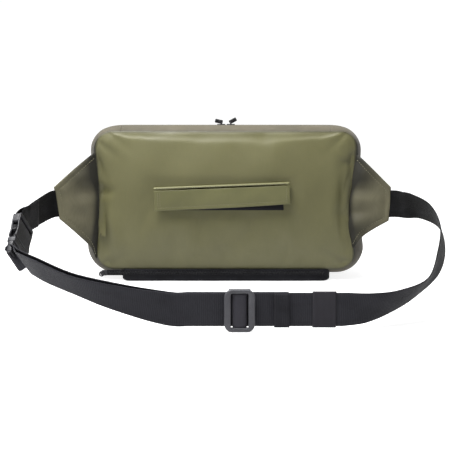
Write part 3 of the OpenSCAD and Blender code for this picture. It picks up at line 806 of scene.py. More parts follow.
def behind_pocket(points):
    """Keeps the panel behind the pocket's tape, with a slope round the patch."""
    beside = np.clip(np.abs(points[:, 0] - POCKET_X) - POCKET_HALF_W, 0, None)
    above_below = np.clip(np.abs(points[:, 2] - POCKET_Z) - POCKET_HALF_H, 0, None)
    kept = points.copy()
    kept[:, 1] = np.maximum(points[:, 1], back_low[1] + 0.3 - POCKET_EASE * (beside + above_below))
    return kept


def seam_tree():
    """Both panel seams as closely spaced points, to look up how far a spot is from a seam."""
    points = []
    for start in (0, PANEL_SIZE):
        ring = shell_points[start + ring_indices()]
        points.append(even_line(np.vstack([ring, ring[:1]]), 1.0))
    points = np.vstack(points)
    tree = kdtree.KDTree(len(points))
    for number, point in enumerate(points):
        tree.insert(point, number)
    tree.balance()
    return tree


def paint_shell_shade(made):
    """Stores painted shade on the shell's cloth: darker beside the seams, beside the wings, on the sides
    and in the deep folds.
    """
    points = mesh_points(made)
    distance = np.array([seams.find(p)[2] for p in points])
    x, y, z = points.T
    painted_shade = 1 - 0.45 * np.exp(-(distance / 2.4) ** 2) - 0.1 * np.exp(-(distance / 9) ** 2)
    beside_wing = (np.abs(x) > HALF_W - 30) * np.clip((z - 36) / 25, 0, 1) * np.clip((200 - z) / 15, 0, 1)
    painted_shade -= 0.5 * beside_wing * np.exp(-(distance / 4.0) ** 2)
    painted_shade -= np.where(y < -HALF_D - 0.5, relief(x, z, BACK_PAINTED_SHADE), 0)
    painted_shade -= np.where((y > -HALF_D) & (np.abs(x) > HALF_W - 6), 0.25, 0)
    store_painted_shade(made, painted_shade, 1.1)


def shell_piece(node, chosen, material, slot_name):
    name = node + "_skin"
    used, faces = np.unique(shell_faces[chosen], return_inverse=True)
    made = solid(name, shell_points[used], faces.reshape(-1, 4), material, closed=False)
    settle(made, 1, SKIN)
    # Painted shade beside the seams and in the folds.
    paint_shell_shade(made)
    hand_over(made, "bag", slot_name, node)


def lining_sheet(name, grid_start, inward, half, material, slot_name, node):
    """A layer that follows a large panel on its inside."""
    panel = shell_points[grid_start:grid_start + PANEL_SIZE].reshape(NX + 1, NZ + 1, 3)
    layer = panel[9:-9:2, 9:-9:2] + np.array([0, inward, 0])
    hand_over(solid(name, *slab(layer, half), material), "bag", slot_name, node)


def binding(node, grid_start, inward):
    """The tape that binds a panel's seam, just inside the shell."""
    ring = shell_points[grid_start + ring_indices()]
    pulled = ring + ([0, 0, Z_MID] - ring) * [0.022, 0, 0.04]
    pulled[:, 1] = ring[:, 1] + inward
    hand_over(tube(node + "_tape", pulled[::2], 1.3, binding_cloth, closed=True), "bag", "stiffener", node)


shell_points, shell_faces, shell_kinds = build_shell()
shell_points = inflate(shell_points, shell_faces, held_points(shell_points))
shell_points = behind_pocket(shell_points)
seams = seam_tree()

middle_x, _, middle_z = shell_points[shell_faces].mean(axis=1).T
band_column = shell_kinds - FIRST_BAND
is_band = shell_kinds >= FIRST_BAND
on_top = is_band & (middle_z > Z_HIGH - 1.5) & (np.abs(middle_x) < BASE_END)
on_base = is_band & (middle_z < Z_LOW + 2) & (np.abs(middle_x) < BASE_END - 4)
on_side = is_band & ~on_top & ~on_base
shell_piece("back_panel", shell_kinds == BACK, panel_cloth, "panel_olive")
shell_piece("front_panel", shell_kinds == FRONT, gusset_cloth, "gusset_brown")
shell_piece("left_gusset", on_side & (middle_x < 0), gusset_cloth, "gusset_brown")
shell_piece("right_gusset", on_side & (middle_x > 0), gusset_cloth, "gusset_brown")
shell_piece("top_strip_rear", on_top & (band_column < ZIP_BANDS[0]), gusset_cloth, "gusset_brown")
shell_piece("top_strip_front", on_top & (band_column > ZIP_BANDS[1]), gusset_cloth, "gusset_brown")
lining_sheet("back_foam_layer", 0, 4.6, 2.0, foam_grey, "foam", "back_foam_pad")
lining_sheet("front_stiffener_sheet", PANEL_SIZE, -3.4, 0.7, board_plastic, "stiffener", "front_stiffener")
binding("back_seam_binding", 0, 9.0)
binding("front_seam_binding", PANEL_SIZE, -6.0)


# ---------- Base ----------

BASE_ROUND = 12.0


def base_sections():
    """Cross-sections of the stiff black base, closed and rounded at both ends."""
    half_x, top = BASE_END + 1, Z_LOW + 0.5
    end = BASE_ROUND * (1 - np.cos(np.linspace(0.35, np.pi / 2, 6)))
    middle = np.linspace(-half_x + 18, half_x - 18, 30)
    rings = []
    for x in np.concatenate([[-half_x], -half_x + end, middle, half_x - end[::-1], [half_x]]):
        inset = max(0.0, BASE_ROUND - (half_x - abs(x)))
        round_in = BASE_ROUND - math.sqrt(max(0.0, BASE_ROUND ** 2 - inset * inset))
        half_y = HALF_D + 2.6 - min(round_in, 11.5)
        low = min(round_in * 0.35, 6.0)
        loop = rounded_loop(2 * half_y, top - low, 1.6, 0.0, (top + low) / 2, 4)
        wave = 0.35 * math.sin(x / 17) + 0.25 * math.sin(x / 7 + 1)
        rings.append([(x, y + (wave if abs(y) > half_y - 2 else 0), max(z, 0.0)) for y, z in loop])
    return np.array(rings)


base_piece = solid("base_skin", *loft(base_sections()), base_cloth)
settle(base_piece)
hand_over(base_piece, "bag", "base_black", "base_panel")


# ---------- Wings ----------

WING_Y = -HALF_D - 5.6
WING_SLOPE = math.tan(math.radians(9))
LEFT_WING = {
    "root": [(-187, 31), (-185.5, 60), (-183, 100), (-181.5, 131), (-184.5, 160), (-186.5, 186)],
    "lower": [(-187, 31), (-194, 50), (-214, 71), (-236.5, 92)],
    "tip": [(-236.5, 92), (-239.5, 115), (-243, 137)],
    "upper": [(-186.5, 186), (-214, 163), (-243, 137)],
    "folds": [
        (-3.4, crease, -181, 131, -226, 133, 9),
        (1.5, bump_at, -204, 112, 20, 9, 10),
        (1.2, bump_at, -206, 150, 16, 8, -35),
        (-1.4, crease, -184, 84, -214, 100, 6),
    ],
    # Painted shade: the wing gets darker below this height.
    "shade_below": 92,
}
RIGHT_WING = {
    "root": [(182.5, 46), (176.5, 70), (175, 97), (177, 130), (182, 160), (186.5, 183)],
    "lower": [(182.5, 46), (194, 64), (211, 77), (231, 89)],
    "tip": [(231, 89), (233, 112), (233, 137)],
    "upper": [(186.5, 183), (208, 162), (233, 137)],
    "folds": [
        (-4.2, crease, 175, 99, 216, 106, 8),
        (2.6, bump_at, 188, 84, 12, 9, 25),
        (-3.0, crease, 176, 132, 214, 136, 8),
        (1.4, bump_at, 205, 118, 15, 9),
        (1.2, bump_at, 196, 156, 14, 8, 35),
    ],
    # Painted shade: the wing gets darker below this height.
    "shade_below": 108,
}
SEAM_DIVE, HEM_GROOVE, HEM_IN = 6.6, 7.2, 8.2
HEM_STITCH = (3.6, 2.6, 0.36)


def line_distance(points, line):
    """Distance of each (x, z) point to a polyline."""
    best = np.full(points.shape[:-1], np.inf)
    for a, b in zip(line[:-1], line[1:]):
        if np.linalg.norm(b - a) > 1e-6:
            t = np.clip(((points - a) @ (b - a)) / ((b - a) @ (b - a)), 0, 1)
            best = np.minimum(best, np.linalg.norm(points - a - t[..., None] * (b - a), axis=-1))
    return best


def wing_depth(x, z, folds):
    """Y of the wing's middle surface."""
    reach = np.abs(x) - (HALF_W - 2)
    root = np.exp(-np.clip(reach + 8, 0, None) / 7)
    return WING_Y - np.clip(reach, 0, None) * WING_SLOPE + 3.4 * root - relief(x, z, folds)


def paint_wing_shade(made, root_line, shade_below):
    """Stores painted shade on the wing's cloth: darker towards its root, its upper edge and its lowest
    corner, and a little lighter towards its tip.
    """
    x, _, z = mesh_points(made).T
    reach = np.clip((np.abs(x) - 180) / 58, 0, 1)
    upper = np.clip((z - 122) / 26, 0, 1)
    lowest = np.clip((shade_below - z) / 34, 0, 1)
    painted_shade = 1.12 - (1 - reach) * (0.34 + 0.55 * upper + 0.6 * lowest) - 0.26 * upper * (1 - 0.5 * reach)
    beside_root = np.abs(x) - np.abs(np.interp(z, root_line[:, 1], root_line[:, 0]))
    store_painted_shade(made, painted_shade - 0.75 * np.exp(-(beside_root / 5) ** 2), 1.2)


def wing(node, shape):
    """A padded wing with its foam and its sewn hem; its root dives into the pouch's side seam."""
    name, folds = node + "_pad", shape["folds"]
    root, lower, tip, upper = (smooth_line(shape[key], 6) for key in ("root", "lower", "tip", "upper"))
    s, t = crowded(26, 0.35), crowded(40, 0.35)
    flat = coons(resample(lower, s), resample(upper, s), resample(root, t), resample(tip, t), s, t)
    free = np.vstack([lower, tip, upper[::-1]])
    distance = line_distance(flat, free)
    half = 0.25 + 1.25 * np.clip(distance / 1.6, 0, 1) ** 0.5
    half = half - 0.5 * np.exp(-((distance - HEM_GROOVE) / 0.9) ** 2)
    half = half + 0.9 * np.clip((distance - 7.5) / 8, 0, 1)
    from_root = np.linalg.norm(flat - flat[:1], axis=2)
    y = wing_depth(flat[..., 0], flat[..., 1], folds) + SEAM_DIVE * np.exp(-(from_root / 5.5) ** 1.4)
    grid = np.stack([flat[..., 0], y, flat[..., 1]], axis=2)

    core = grid[5:-6, 7:-7]
    core_half = np.full(core.shape[:2], 0.3)
    core_half[1:-1, 1:-1] = 0.9
    hand_over(solid(name + "_foam", *slab(core, core_half), foam_grey), "bag", "foam", node + "_foam")
    made = solid(name, *slab(grid, half), wing_cloth)
    settle(made)
    # Painted shade on the wing's cloth.
    paint_wing_shade(made, even_line(root, 2), shape["shade_below"])
    hand_over(made, "bag", "gusset_brown", node)

    centre = np.array([shape["root"][2][0], 115.0])
    hem = even_line(np.array([p + unit(centre - p) * HEM_IN for p in even_line(free, 3)]), 3)
    line = np.stack([hem[:, 0], wing_depth(hem[:, 0], hem[:, 1], folds) - 1.15, hem[:, 1]], axis=1)
    hand_over(stitches(name + "_stitches", [line], (0, -1, 0), *HEM_STITCH), "bag", "gusset_brown")


wing("left_wing", LEFT_WING)
wing("right_wing", RIGHT_WING)


# ---------- Webbing ----------

WEB_W, WEB_T = 38.0, 1.6
FRONT_Y, WEB_Z = -336.0, 24.0
LAYER_STEP = 4.4
RIGHT_ROUTE = [
    (130, -336, 24, 0), (160, -329, 24, 18), (192, -313, 28, 34), (228, -290, 40, 40),
    (254, -258, 64, 4), (269, -215, 88, -13), (270, -167, 108, -27), (258, -114, 115, -25),
    (248, -87, 114, -12), (240.5, -72, 114, -4), (234, -66.0, 113.6, 0), (226, -64, 113, 0),
    (214, -62.2, 113, 0),
]
LEFT_FRONT_ROUTE = [
    (-42, -336, 24, 0), (-62, -336, 24, 4), (-108, -332, 32, 24),
    (-165, -320, 45, 39), (-217, -283, 57, 34), (-246, -240, 59, 35),
]
LEFT_ROUTE = [
    (-222, -63.2, 114, 0), (-234, -65.3, 114, 0), (-242.5, -68.0, 113.6, 0), (-248.5, -78, 111.5, 1),
    (-255, -100, 107.5, 4), (-260, -128, 104, 8), (-263, -147, 101, 10),
]
BUCKLE_AT = np.array([-265.0, -182.0, 77.0])
BUCKLE_TURN = (Matrix.Rotation(math.radians(-92), 4, "Z") @ Matrix.Rotation(math.radians(44), 4, "Y")
               @ Matrix.Rotation(math.radians(10), 4, "X"))
BUCKLE_AXES = np.array(BUCKLE_TURN)[:3, :3]
BUCKLE_PLACE = Matrix.Translation(BUCKLE_AT.tolist()) @ BUCKLE_TURN


def in_buckle(points):
    return BUCKLE_AT + np.asarray(points, float) @ BUCKLE_AXES.T


def route_rows(route, turn):
    """Rows of (point, width direction) along rows of (x, y, z, lean in degrees); turn is 1 or -1, and
    gives the side that a positive lean tips towards."""
    line = smooth_line(np.array(route, float), 6)
    ahead = unit(np.gradient(line[:, :3], axis=0))
    side = unit(np.cross(ahead, [0, 0, 1]))
    up = np.cross(side, ahead)
    lean = np.radians(turn * line[:, 3])[:, None]
    return np.hstack([line[:, :3], up * np.cos(lean) + side * np.sin(lean)])


def shifted(rows, amount):
    """The rows moved out of the ring by amount, square to the webbing's face."""
    ahead = unit(np.gradient(rows[:, :3], axis=0))
    out = unit(np.cross(ahead, rows[:, 3:]))
    moved = rows.copy()
    moved[:, :3] += out * np.reshape(amount, (-1, 1))
    return moved


STRAP_PROFILE = np.array([
    (-1, 0.3), (-0.96, 0.78), (-0.86, 0.92), (-0.6, 0.8), (-0.3, 0.78), (0, 0.8),
    (0.3, 0.78), (0.6, 0.8), (0.86, 0.92), (0.96, 0.78), (1, 0.3),
])


def strap(name, rows, material, width=WEB_W, thick=WEB_T, step=2.6, start=0.0):
    """Flat webbing along rows of (point, width direction); start is where its cloth places begin."""
    even = even_line(rows, step)
    centre = even[:, :3]
    ahead = unit(np.gradient(centre, axis=0))
    across = unit(even[:, 3:])
    across = unit(across - ahead * np.sum(across * ahead, axis=1, keepdims=True))
    out = np.cross(ahead, across)
    upper = STRAP_PROFILE * [width / 2, thick / 2]
    profile = np.vstack([upper, upper[::-1] * [1, -1]])
    sections = np.stack([centre + across * w + out * h for w, h in profile], axis=1)
    mesh = make_mesh(name, *loft(sections))
    places = np.zeros(sections.shape)
    places[1:, :, 0] = np.cumsum(np.linalg.norm(np.diff(centre, axis=0), axis=1))[:, None]
    places[..., 0] += start
    places[..., 1:] = profile
    store_cloth(mesh, places)
    return make_object(name, mesh, material)


def wrap(bar_x, radius, start, end, steps=14):
    """Rows for webbing that turns round a buckle bar; angles are degrees in the buckle's X, -Y plane."""
    rows = []
    for a in np.radians(np.linspace(start, end, steps + 1)):
        p = in_buckle((bar_x + radius * math.cos(a), -radius * math.sin(a), 0))
        rows.append(np.concatenate([p, BUCKLE_AXES[:, 2]]))
    return np.array(rows)


def bridge(a, b, count=6):
    """Rows that carry on smoothly from the end of a to the start of b."""
    p0, p1 = a[-1, :3], b[0, :3]
    reach = np.linalg.norm(p1 - p0)
    d0, d1 = unit(a[-1, :3] - a[-2, :3]) * reach, unit(b[1, :3] - b[0, :3]) * reach
    rows = []
    for t in np.linspace(0, 1, count + 2)[1:-1]:
        p = ((2 * t ** 3 - 3 * t ** 2 + 1) * p0 + (t ** 3 - 2 * t ** 2 + t) * d0
             + (-2 * t ** 3 + 3 * t ** 2) * p1 + (t ** 3 - t ** 2) * d1)
        w = unit(a[-1, 3:] * (1 - t) + b[0, 3:] * t)
        rows.append(np.concatenate([p, w]))
    return np.vstack([a, rows, b])


BAR_R = 2.4
SOCKET_BAR_X = -29.75
PLUG_BAR_X = 29.75
WRAP_R = BAR_R + 0.3 + WEB_T / 2

left_rows = route_rows(LEFT_ROUTE, -1)
socket_turn = wrap(SOCKET_BAR_X, WRAP_R, 100, -80)
fold_end = np.array([[-257.3, -112, 105.9, 5], [-260, -128, 104, 8], [-262.5, -144, 101.4, 9.7]])
fold_rows = shifted(route_rows(fold_end, -1), -WEB_T - 0.5)
left_web = bridge(bridge(left_rows, socket_turn), fold_rows[::-1])
left_piece = strap("left_webbing", left_web, belt_web)
hand_over(left_piece, "bag", "webbing", "left_strap", "left_strap_fold")

TAIL_END = 70.0
KEEPER_END = 130.0
straight = [(x, FRONT_Y, WEB_Z, 0) for x in np.linspace(KEEPER_END, -42, 20)]
inner_rows = route_rows(straight[:-1] + LEFT_FRONT_ROUTE, -1)
plug_turn = wrap(PLUG_BAR_X, WRAP_R, -60, 120)
outer_rows = shifted(route_rows(straight[:-1] + LEFT_FRONT_ROUTE, -1), LAYER_STEP)
outer_rows = outer_rows[outer_rows[:, 0] < TAIL_END]
right_rows = route_rows(RIGHT_ROUTE, 1)[::-1]
belt_rows = np.vstack([right_rows, inner_rows[1:]])
belt_rows = bridge(belt_rows, plug_turn)
belt_rows = bridge(belt_rows, outer_rows[::-1])
belt_piece = strap("belt_webbing", belt_rows, belt_web)
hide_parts("right_strap", "front_strap_inner", "front_strap_outer", "plug_strap_loop")
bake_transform(belt_piece)

tail_hem = np.array([(x, FRONT_Y - LAYER_STEP - WEB_T - 0.1, WEB_Z, 0, 0, 1)
                     for x in (53.0, 60.0, TAIL_END)], float)
tail_piece = strap("tail_hem", tail_hem, belt_web, WEB_W, WEB_T, 2.6, 300.0)
hand_over(tail_piece, "bag", "webbing")


# ---------- Buckle ----------

def rounded_polygon(corners, radius, steps=4):
    """Closed outline with rounded corners."""
    out = []
    count = len(corners)
    for i in range(count):
        p, a, b = (np.array(corners[k % count], float) for k in (i, i - 1, i + 1))
        r = min(radius, np.linalg.norm(a - p) / 2.2, np.linalg.norm(b - p) / 2.2)
        start, end = p + unit(a - p) * r, p + unit(b - p) * r
        for t in np.linspace(0, 1, steps + 1):
            out.append(tuple((1 - t) ** 2 * start + 2 * t * (1 - t) * p + t * t * end))
    return out


BUCKLE_T, WALL, PRONG_T = 11.0, 2.3, 5.4
WALL_Y = (BUCKLE_T - WALL) / 2
SOCKET_OUTLINE = [(-32, -21), (-18, -21), (-6, -19.5), (6, -22), (6, 22), (-6, 19.5), (-18, 21), (-32, 21)]
SOCKET_CORE = [(-31.5, -20.5), (-17.6, -20.5), (-17.6, 20.5), (-31.5, 20.5)]
RAISED_FIELD = [(-15, -12), (-2, -13), (-2, 13), (-15, 12)]
PLUG_OUTLINE = [(7, -21.5), (32, -20.5), (32, 20.5), (7, 21.5)]
PLUG_PRONG = [(-15, -2.6), (8, -4.5), (8, 4.5), (-15, 2.6)]
ARM_OUTLINE = [(4.5, 14.5), (4.5, 10.5), (-15, 11.5), (-15, 14), (-11, 19), (-5, 21), (-3, 14.5)]

strap_slot = rounded_loop(5.6, WEB_W + 1, 1.2, -24.6, 0, 3)
wall = [rounded_polygon(SOCKET_OUTLINE, 4), strap_slot]
socket_rows = [(wall, WALL, 0.9, -WALL_Y), (wall, WALL, 0.9, WALL_Y),
               ([rounded_polygon(SOCKET_CORE, 3), strap_slot], 2 * WALL_Y, 0.4, 0)]
for rail_z in (-7.4, 7.4):
    socket_rows.append(([rounded_loop(22, 3.2, 0.8, -6.5, rail_z, 3)], 2 * WALL_Y, 0.3, 0))
socket_rows.append(([rounded_polygon(RAISED_FIELD, 3.5)], 0.8, 0.35, -BUCKLE_T / 2 - 0.1))
hand_over(join("buckle_socket_body", mouldings(socket_rows, buckle_plastic, BUCKLE_PLACE)), "bag",
          "buckle_plastic", "buckle_socket")

plug_slot = rounded_loop(9.5, WEB_W + 1, 1.2, 22.5, 0, 3)
plug_rows = [
    ([rounded_polygon(PLUG_OUTLINE, 4), plug_slot], 7.0, 1.6, 0),
    ([rounded_loop(9, 43, 2.4, 11.5, 0)], BUCKLE_T, 1.8, 0),
    ([rounded_polygon(PLUG_PRONG, 1.6)], PRONG_T, 1.2, 0),
]
plug_parts = mouldings(plug_rows, buckle_plastic, BUCKLE_PLACE)
bar_line = in_buckle([(PLUG_BAR_X, 0, z) for z in np.linspace(-19.8, 19.8, 5)])
plug_parts.append(tube("plug_bar", bar_line, BAR_R, buckle_plastic, sides=16))
hand_over(join("buckle_plug_body", plug_parts), "buckle_plug", "buckle_plastic", "buckle_plug")

for level, arm_node in ((1, "latch_arm_upper"), (-1, "latch_arm_lower")):
    arm_place = BUCKLE_PLACE @ Matrix.Scale(level, 4, (0, 0, 1))
    arm_rows = [([rounded_polygon(ARM_OUTLINE, 1.0)], PRONG_T, 0.9, 0)]
    arm_parts = mouldings(arm_rows, buckle_plastic, arm_place)
    for ridge in (-11.5, -9.5, -7.5):
        ridge_line = in_buckle([(ridge, y, level * (19.4 + (ridge + 11) * 0.32)) for y in (-2.2, 0, 2.2)])
        arm_parts.append(tube("arm_ridge", ridge_line, 0.5, buckle_plastic))
    hand_over(join(arm_node + "_body", arm_parts), arm_node, "buckle_plastic", arm_node)


# ---------- Belt slider and keeper ----------

slider_low, slider_high = cad_box_mm("belt_slider")
SLIDER_X, _, SLIDER_Z = (slider_low + slider_high) / 2
SLIDER_W, _, SLIDER_H = slider_high - slider_low
OUTER_FACE = FRONT_Y - LAYER_STEP - WEB_T / 2
slider_place = Matrix.Translation((SLIDER_X, OUTER_FACE - 1.9, SLIDER_Z))
slider_rows = [([rounded_loop(SLIDER_W, SLIDER_H, 9.0, 0, 0, 10),
                 rounded_loop(SLIDER_W - 14.6, WEB_W + 0.8, 1.5, 0, 0, 3)], 3.4, 1.4, 0)]
for level in (-1, 1):
    block = rounded_loop(SLIDER_W - 9, 4.4, 1.6, 0, level * (SLIDER_H - 4.6) / 2, 4)
    slider_rows.append(([block], 6.2, 1.2, 2.4))
slider_rows.append(([rounded_loop(7.5, SLIDER_H - 4, 1.6)], 1.9, 0.7, 4.2))
hand_over(join("belt_slider_frame", mouldings(slider_rows, slider_plastic, slider_place)), "belt_slider",
          "buckle_plastic", "belt_slider")

hump_rows = np.array([(SLIDER_X + 7.7 * u, OUTER_FACE + 0.2 - 2.3 * (1 - abs(u) ** 3.2), WEB_Z, 0, 0, 1)
                      for u in np.linspace(-1, 1, 15)])
hump_piece = strap("webbing_over_slider_bar", hump_rows, keeper_web, WEB_W - 0.4, 1.0, 1.2, 400.0)
hand_over(hump_piece, "belt_slider", "webbing")

KEEPER_HOLE = [1, 0.55, 0.957]
keeper_low, keeper_high = cad_box_mm("belt_keeper")
keeper_rings = []
for u in np.linspace(-1, 1, 14):
    x = (keeper_low[0] + keeper_high[0] + u * (keeper_high[0] - keeper_low[0])) / 2
    loop = rounded_loop(4.0 + 0.25 * (1 - abs(u) ** 6), WEB_W + 3.0, 1.6, FRONT_Y, WEB_Z, 4)
    keeper_rings.append([(x, y, z) for y, z in loop])
keeper_outer = np.array(keeper_rings)
keeper_middle = np.array([0, FRONT_Y, WEB_Z])
keeper_inner = keeper_middle + (keeper_outer - keeper_middle) * KEEPER_HOLE
keeper_sections = np.concatenate([keeper_outer, keeper_inner[::-1], keeper_outer[:1]])
keeper_points, keeper_faces = loft(keeper_sections, cap=False)
keeper_mesh = make_mesh("belt_keeper_sleeve", keeper_points, keeper_faces)
store_cloth(keeper_mesh, keeper_points[:, [0, 2, 1]])
clean(keeper_mesh, weld=True)
keeper_piece = make_object("belt_keeper_sleeve", keeper_mesh, keeper_web)
hand_over(keeper_piece, "belt_keeper", "webbing", "belt_keeper")


# ---------- Zips ----------

COIL_W, COIL_H, COIL_PITCH = 5.6, 1.9, 2.3
TOOTH_R = COIL_PITCH * 0.24
TOOTH_RINGS = ((0.02, 0.55), (0.12, 1), (0.9, 1), (1.0, 0.5))
TOOTH_ANGLES = np.arange(6) * math.pi / 3
ZIP_SLIDER_L, ZIP_SLIDER_W = 12.0, 10.5


def coil(node, length, place):
    """Two rows of interlocked coil teeth along the X axis of place, standing on its z = 0."""
    teeth = []
    for i in range(int(length / COIL_PITCH)):
        for side in (-1, 1):
            x = -length / 2 + COIL_PITCH * (i + 0.5 + 0.25 * side)
            teeth.append([[(x + math.cos(a) * thick * TOOTH_R, side * (along * COIL_W / 2 - 0.3),
                            COIL_H / 2 * (1 + math.sin(a) * thick)) for a in TOOTH_ANGLES]
                          for along, thick in TOOTH_RINGS])
    made = solid(node + "_teeth", *pile(teeth), coil_nylon)
    made.data.transform(in_metres(place))
    hand_over(made, "bag", "zip_coil", node)


def tape(node, length, width, place, wave=0.15, drop=0.0):
    """Flat woven zip tape in the XY plane of place; its lower edge goes down by drop towards +X."""
    x, t = np.linspace(-length / 2, length / 2, 60), np.linspace(-0.5, 0.5, 9)
    gx, gt = np.meshgrid(x, t, indexing="ij")
    gy = gt * width - np.clip(0.5 - gt, 0, 1) * drop * (gx / length + 0.5)
    gz = wave * np.sin(gx / 19) * np.abs(gt) * 2
    made = solid(node + "_cloth", *slab(np.stack([gx, gy, gz], axis=2), 0.35), tape_cloth)
    made.data.transform(in_metres(place))
    hand_over(made, "bag", "base_black", node)


def slider_body(name, place, *extra, bail=False):
    """A zip slider: a shaped top wing, two rims and, on large ones, an arched bail for the pull."""
    end, half_w = ZIP_SLIDER_L / 2, ZIP_SLIDER_W / 2
    half_shape = [(-end, 0.64 * half_w), (-0.2 * end, half_w), (end, 0.84 * half_w)]
    shape = rounded_polygon([(x, -y) for x, y in half_shape] + half_shape[::-1], 1.6)
    top, rims = (place @ Matrix.Translation((0, 0, z)) for z in (3.5, 2.2))
    parts = [plate("slider_top", [shape], 1.8, 0.6, slider_metal, top)]
    for side in (-1, 1):
        rim = rounded_loop(ZIP_SLIDER_L * 0.7, 1.1, 0.4, ZIP_SLIDER_L * 0.05, side * (half_w - 0.75), 3)
        parts.append(plate("slider_rim", [rim], 3.0, 0.4, slider_metal, rims))
    if bail:
        line = [place @ Vector((0, 3.4 * math.cos(a), 3.6 + 4.1 * abs(math.sin(a)) ** 0.6))
                for a in np.linspace(0, math.pi, 13)]
        parts.append(tube("slider_bail", line, 0.85, slider_metal, sides=10))
    return join(name, parts + list(extra))


def pull(node, name, place, length, width, thick, hole):
    """A moulded pull tab on +X with an eye at the origin and a hole near its end."""
    half_shape = [(-2.2, 0.36), (2.5, 0.5), (length * 0.55, 0.34), (length + 1, 0.52)]
    outline = rounded_polygon([(x, -y * width) for x, y in half_shape] + [(length + 2.4, 0)]
                              + [(x, y * width) for x, y in half_shape[::-1]], 1.8)
    eye = rounded_loop(2.4, min(width * 0.56, 3.4), 1.0, 0.3, 0, 3)
    end_hole = rounded_loop(2 * hole, 2 * hole, hole * 0.98, length - 0.6, 0, 4)
    parts = [plate("tab", [outline, eye, end_hole], thick, min(1.0, thick * 0.4), pull_rubber, place)]
    for k in range(3):
        x = length * 0.36 + 1.5 * k
        line = [place @ Vector((x, y, thick / 2 - 0.05)) for y in (-width * 0.26, 0, width * 0.26)]
        parts.append(tube("grip", line, 0.32, pull_rubber, sides=6))
    hand_over(join(name, parts), node, "zip_pull", node)


coil_low, coil_high = cad_box_mm("top_zip_coil")
TOP_ZIP_Z = coil_low[2]
PIN_Z = 7.4
coil("top_zip_coil", coil_high[0] - coil_low[0], Matrix.Translation((0, 0, TOP_ZIP_Z)))
tape("top_zip_tape", 2 * BASE_END - 4, 25, Matrix.Translation((0, 0, TOP_ZIP_Z - 0.4)))
for label, turn, lean in (("left", math.pi, 180 + 12), ("right", 0, -28)):
    node = "top_slider_" + label
    low, high = cad_box_mm(node)
    spot = Matrix.Translation(((low[0] + high[0]) / 2, 0, TOP_ZIP_Z))
    made = slider_body(node + "_body", spot @ Matrix.Rotation(turn, 4, "Z"), bail=True)
    hand_over(made, node, "zip_slider", node)
    pin = spot @ Matrix.Translation((0, 0, PIN_Z)) @ Matrix.Rotation(math.radians(lean), 4, "Y")
    pull("top_pull_" + label, "top_pull_" + label + "_tab", pin, 7.2, 6.2, 5.6, 1.2)


# ---------- Back pocket ----------

flap_low, flap_high = cad_box_mm("pocket_flap")
FLAP_TILT = -2.3
FLAP_X = (flap_low[0] + flap_high[0]) / 2
FLAP_W, FLAP_H, FLAP_T = 191.0, 29.0, 1.5
FLAP_TOP = 136.0
FLAP_GAP = 6.0
FLAP_HEM = FLAP_H - 4.6
FLAP_STITCH = (3.4, 2.5, 0.3)
FLAP_PLACE = (Matrix.Translation((FLAP_X, back_low[1], FLAP_TOP))
              @ Matrix.Rotation(math.radians(FLAP_TILT), 4, "Y"))


def on_flap(points):
    axes = np.array(FLAP_PLACE)
    return np.asarray(points, float) @ axes[:3, :3].T + axes[:3, 3]


def flap_surface(x, drop):
    """Y of the flap's outer face in the flap's frame; it bows a little and lifts towards its right."""
    share = drop / FLAP_H
    lift = 0.5 * np.sin(x / 23 + 0.5) * share + 0.9 * np.clip(2 * x / FLAP_W, 0, 1) ** 2 * share
    belly = 0.8 * np.sin(np.pi * np.clip(share, 0, 1)) + 0.35 * np.sin(x / 9 + drop / 5)
    return -FLAP_GAP - FLAP_T / 2 - 0.1 - lift - belly * 0.6


def shortened(x):
    """The flap's drop at x, which gets smaller towards its right end."""
    return 1 - 0.1 * (x / FLAP_W + 0.5)


def build_flap():
    top, bottom = np.array([0, 0.4, 1.2, 2.4]), np.array([3.4, 2.6, 1.2, 0.4, 0])
    drops = np.concatenate([top, np.linspace(4, FLAP_H - 4, 12), FLAP_H - bottom])
    gx, gd = np.meshgrid(np.linspace(-FLAP_W / 2, FLAP_W / 2, 90), drops, indexing="ij")
    sag = 0.6 * np.sin(gx / 41 + 1) * gd / FLAP_H
    grid = np.stack([gx, flap_surface(gx, gd), -(gd + sag) * shortened(gx)], axis=2)
    end = np.minimum(FLAP_W / 2 - np.abs(gx), 2.0) / 2.0
    half = FLAP_T / 2 * (0.35 + 0.65 * np.clip(end, 0, 1) ** 0.5)
    half = half + 0.35 * np.clip((gd - (FLAP_H - 4.2)) / 0.8, 0, 1)
    half = half - 0.22 * np.exp(-((gd - FLAP_HEM) / 0.7) ** 2)
    half = half * np.where(gd > FLAP_H - 0.3, 0.55, 1) * np.where(gd < 0.3, 0.8, 1)
    points, faces = slab(grid, half)
    made = solid("pocket_flap_cloth", on_flap(points), faces, flap_cloth)
    settle(made)
    hand_over(made, "pocket_flap", "panel_olive", "pocket_flap")


HEADER_SECTION = [(-1.2, 4.6), (-2.8, 5.0), (-4.6, 4.8), (-6.4, 4.0), (-7.7, 3.2),
                  (-8.0, 2.5), (-7.4, 2.0), (-4.0, 1.4), (-0.4, 1.2), (0.8, 3.0)]


def build_flap_header():
    """The stitched fold that the flap hangs from; it gets thinner at both ends."""
    half_w = FLAP_W / 2 + 0.6
    rings = []
    for x in np.linspace(-half_w, half_w, 70):
        end = min(1.0, 0.25 + (half_w - abs(x)) / 2.5)
        rings.append([(x, y * (0.75 + 0.25 * end) + 0.5, z) for y, z in HEADER_SECTION])
    points, faces = loft(np.array(rings))
    made = solid("flap_header_fold", on_flap(points), faces, flap_cloth)
    settle(made, 2)
    hand_over(made, "bag", "panel_olive", "flap_header")


def flap_line(x0, d0, x1, d1):
    """A line on the flap's outer face between two spots, each given as x and drop."""
    t = np.linspace(0, 1, 40)
    x, d = x0 + (x1 - x0) * t, d0 + (d1 - d0) * t
    return on_flap(np.stack([x, flap_surface(x, d) - FLAP_T / 2 - 0.02, -d * shortened(x)], axis=1))


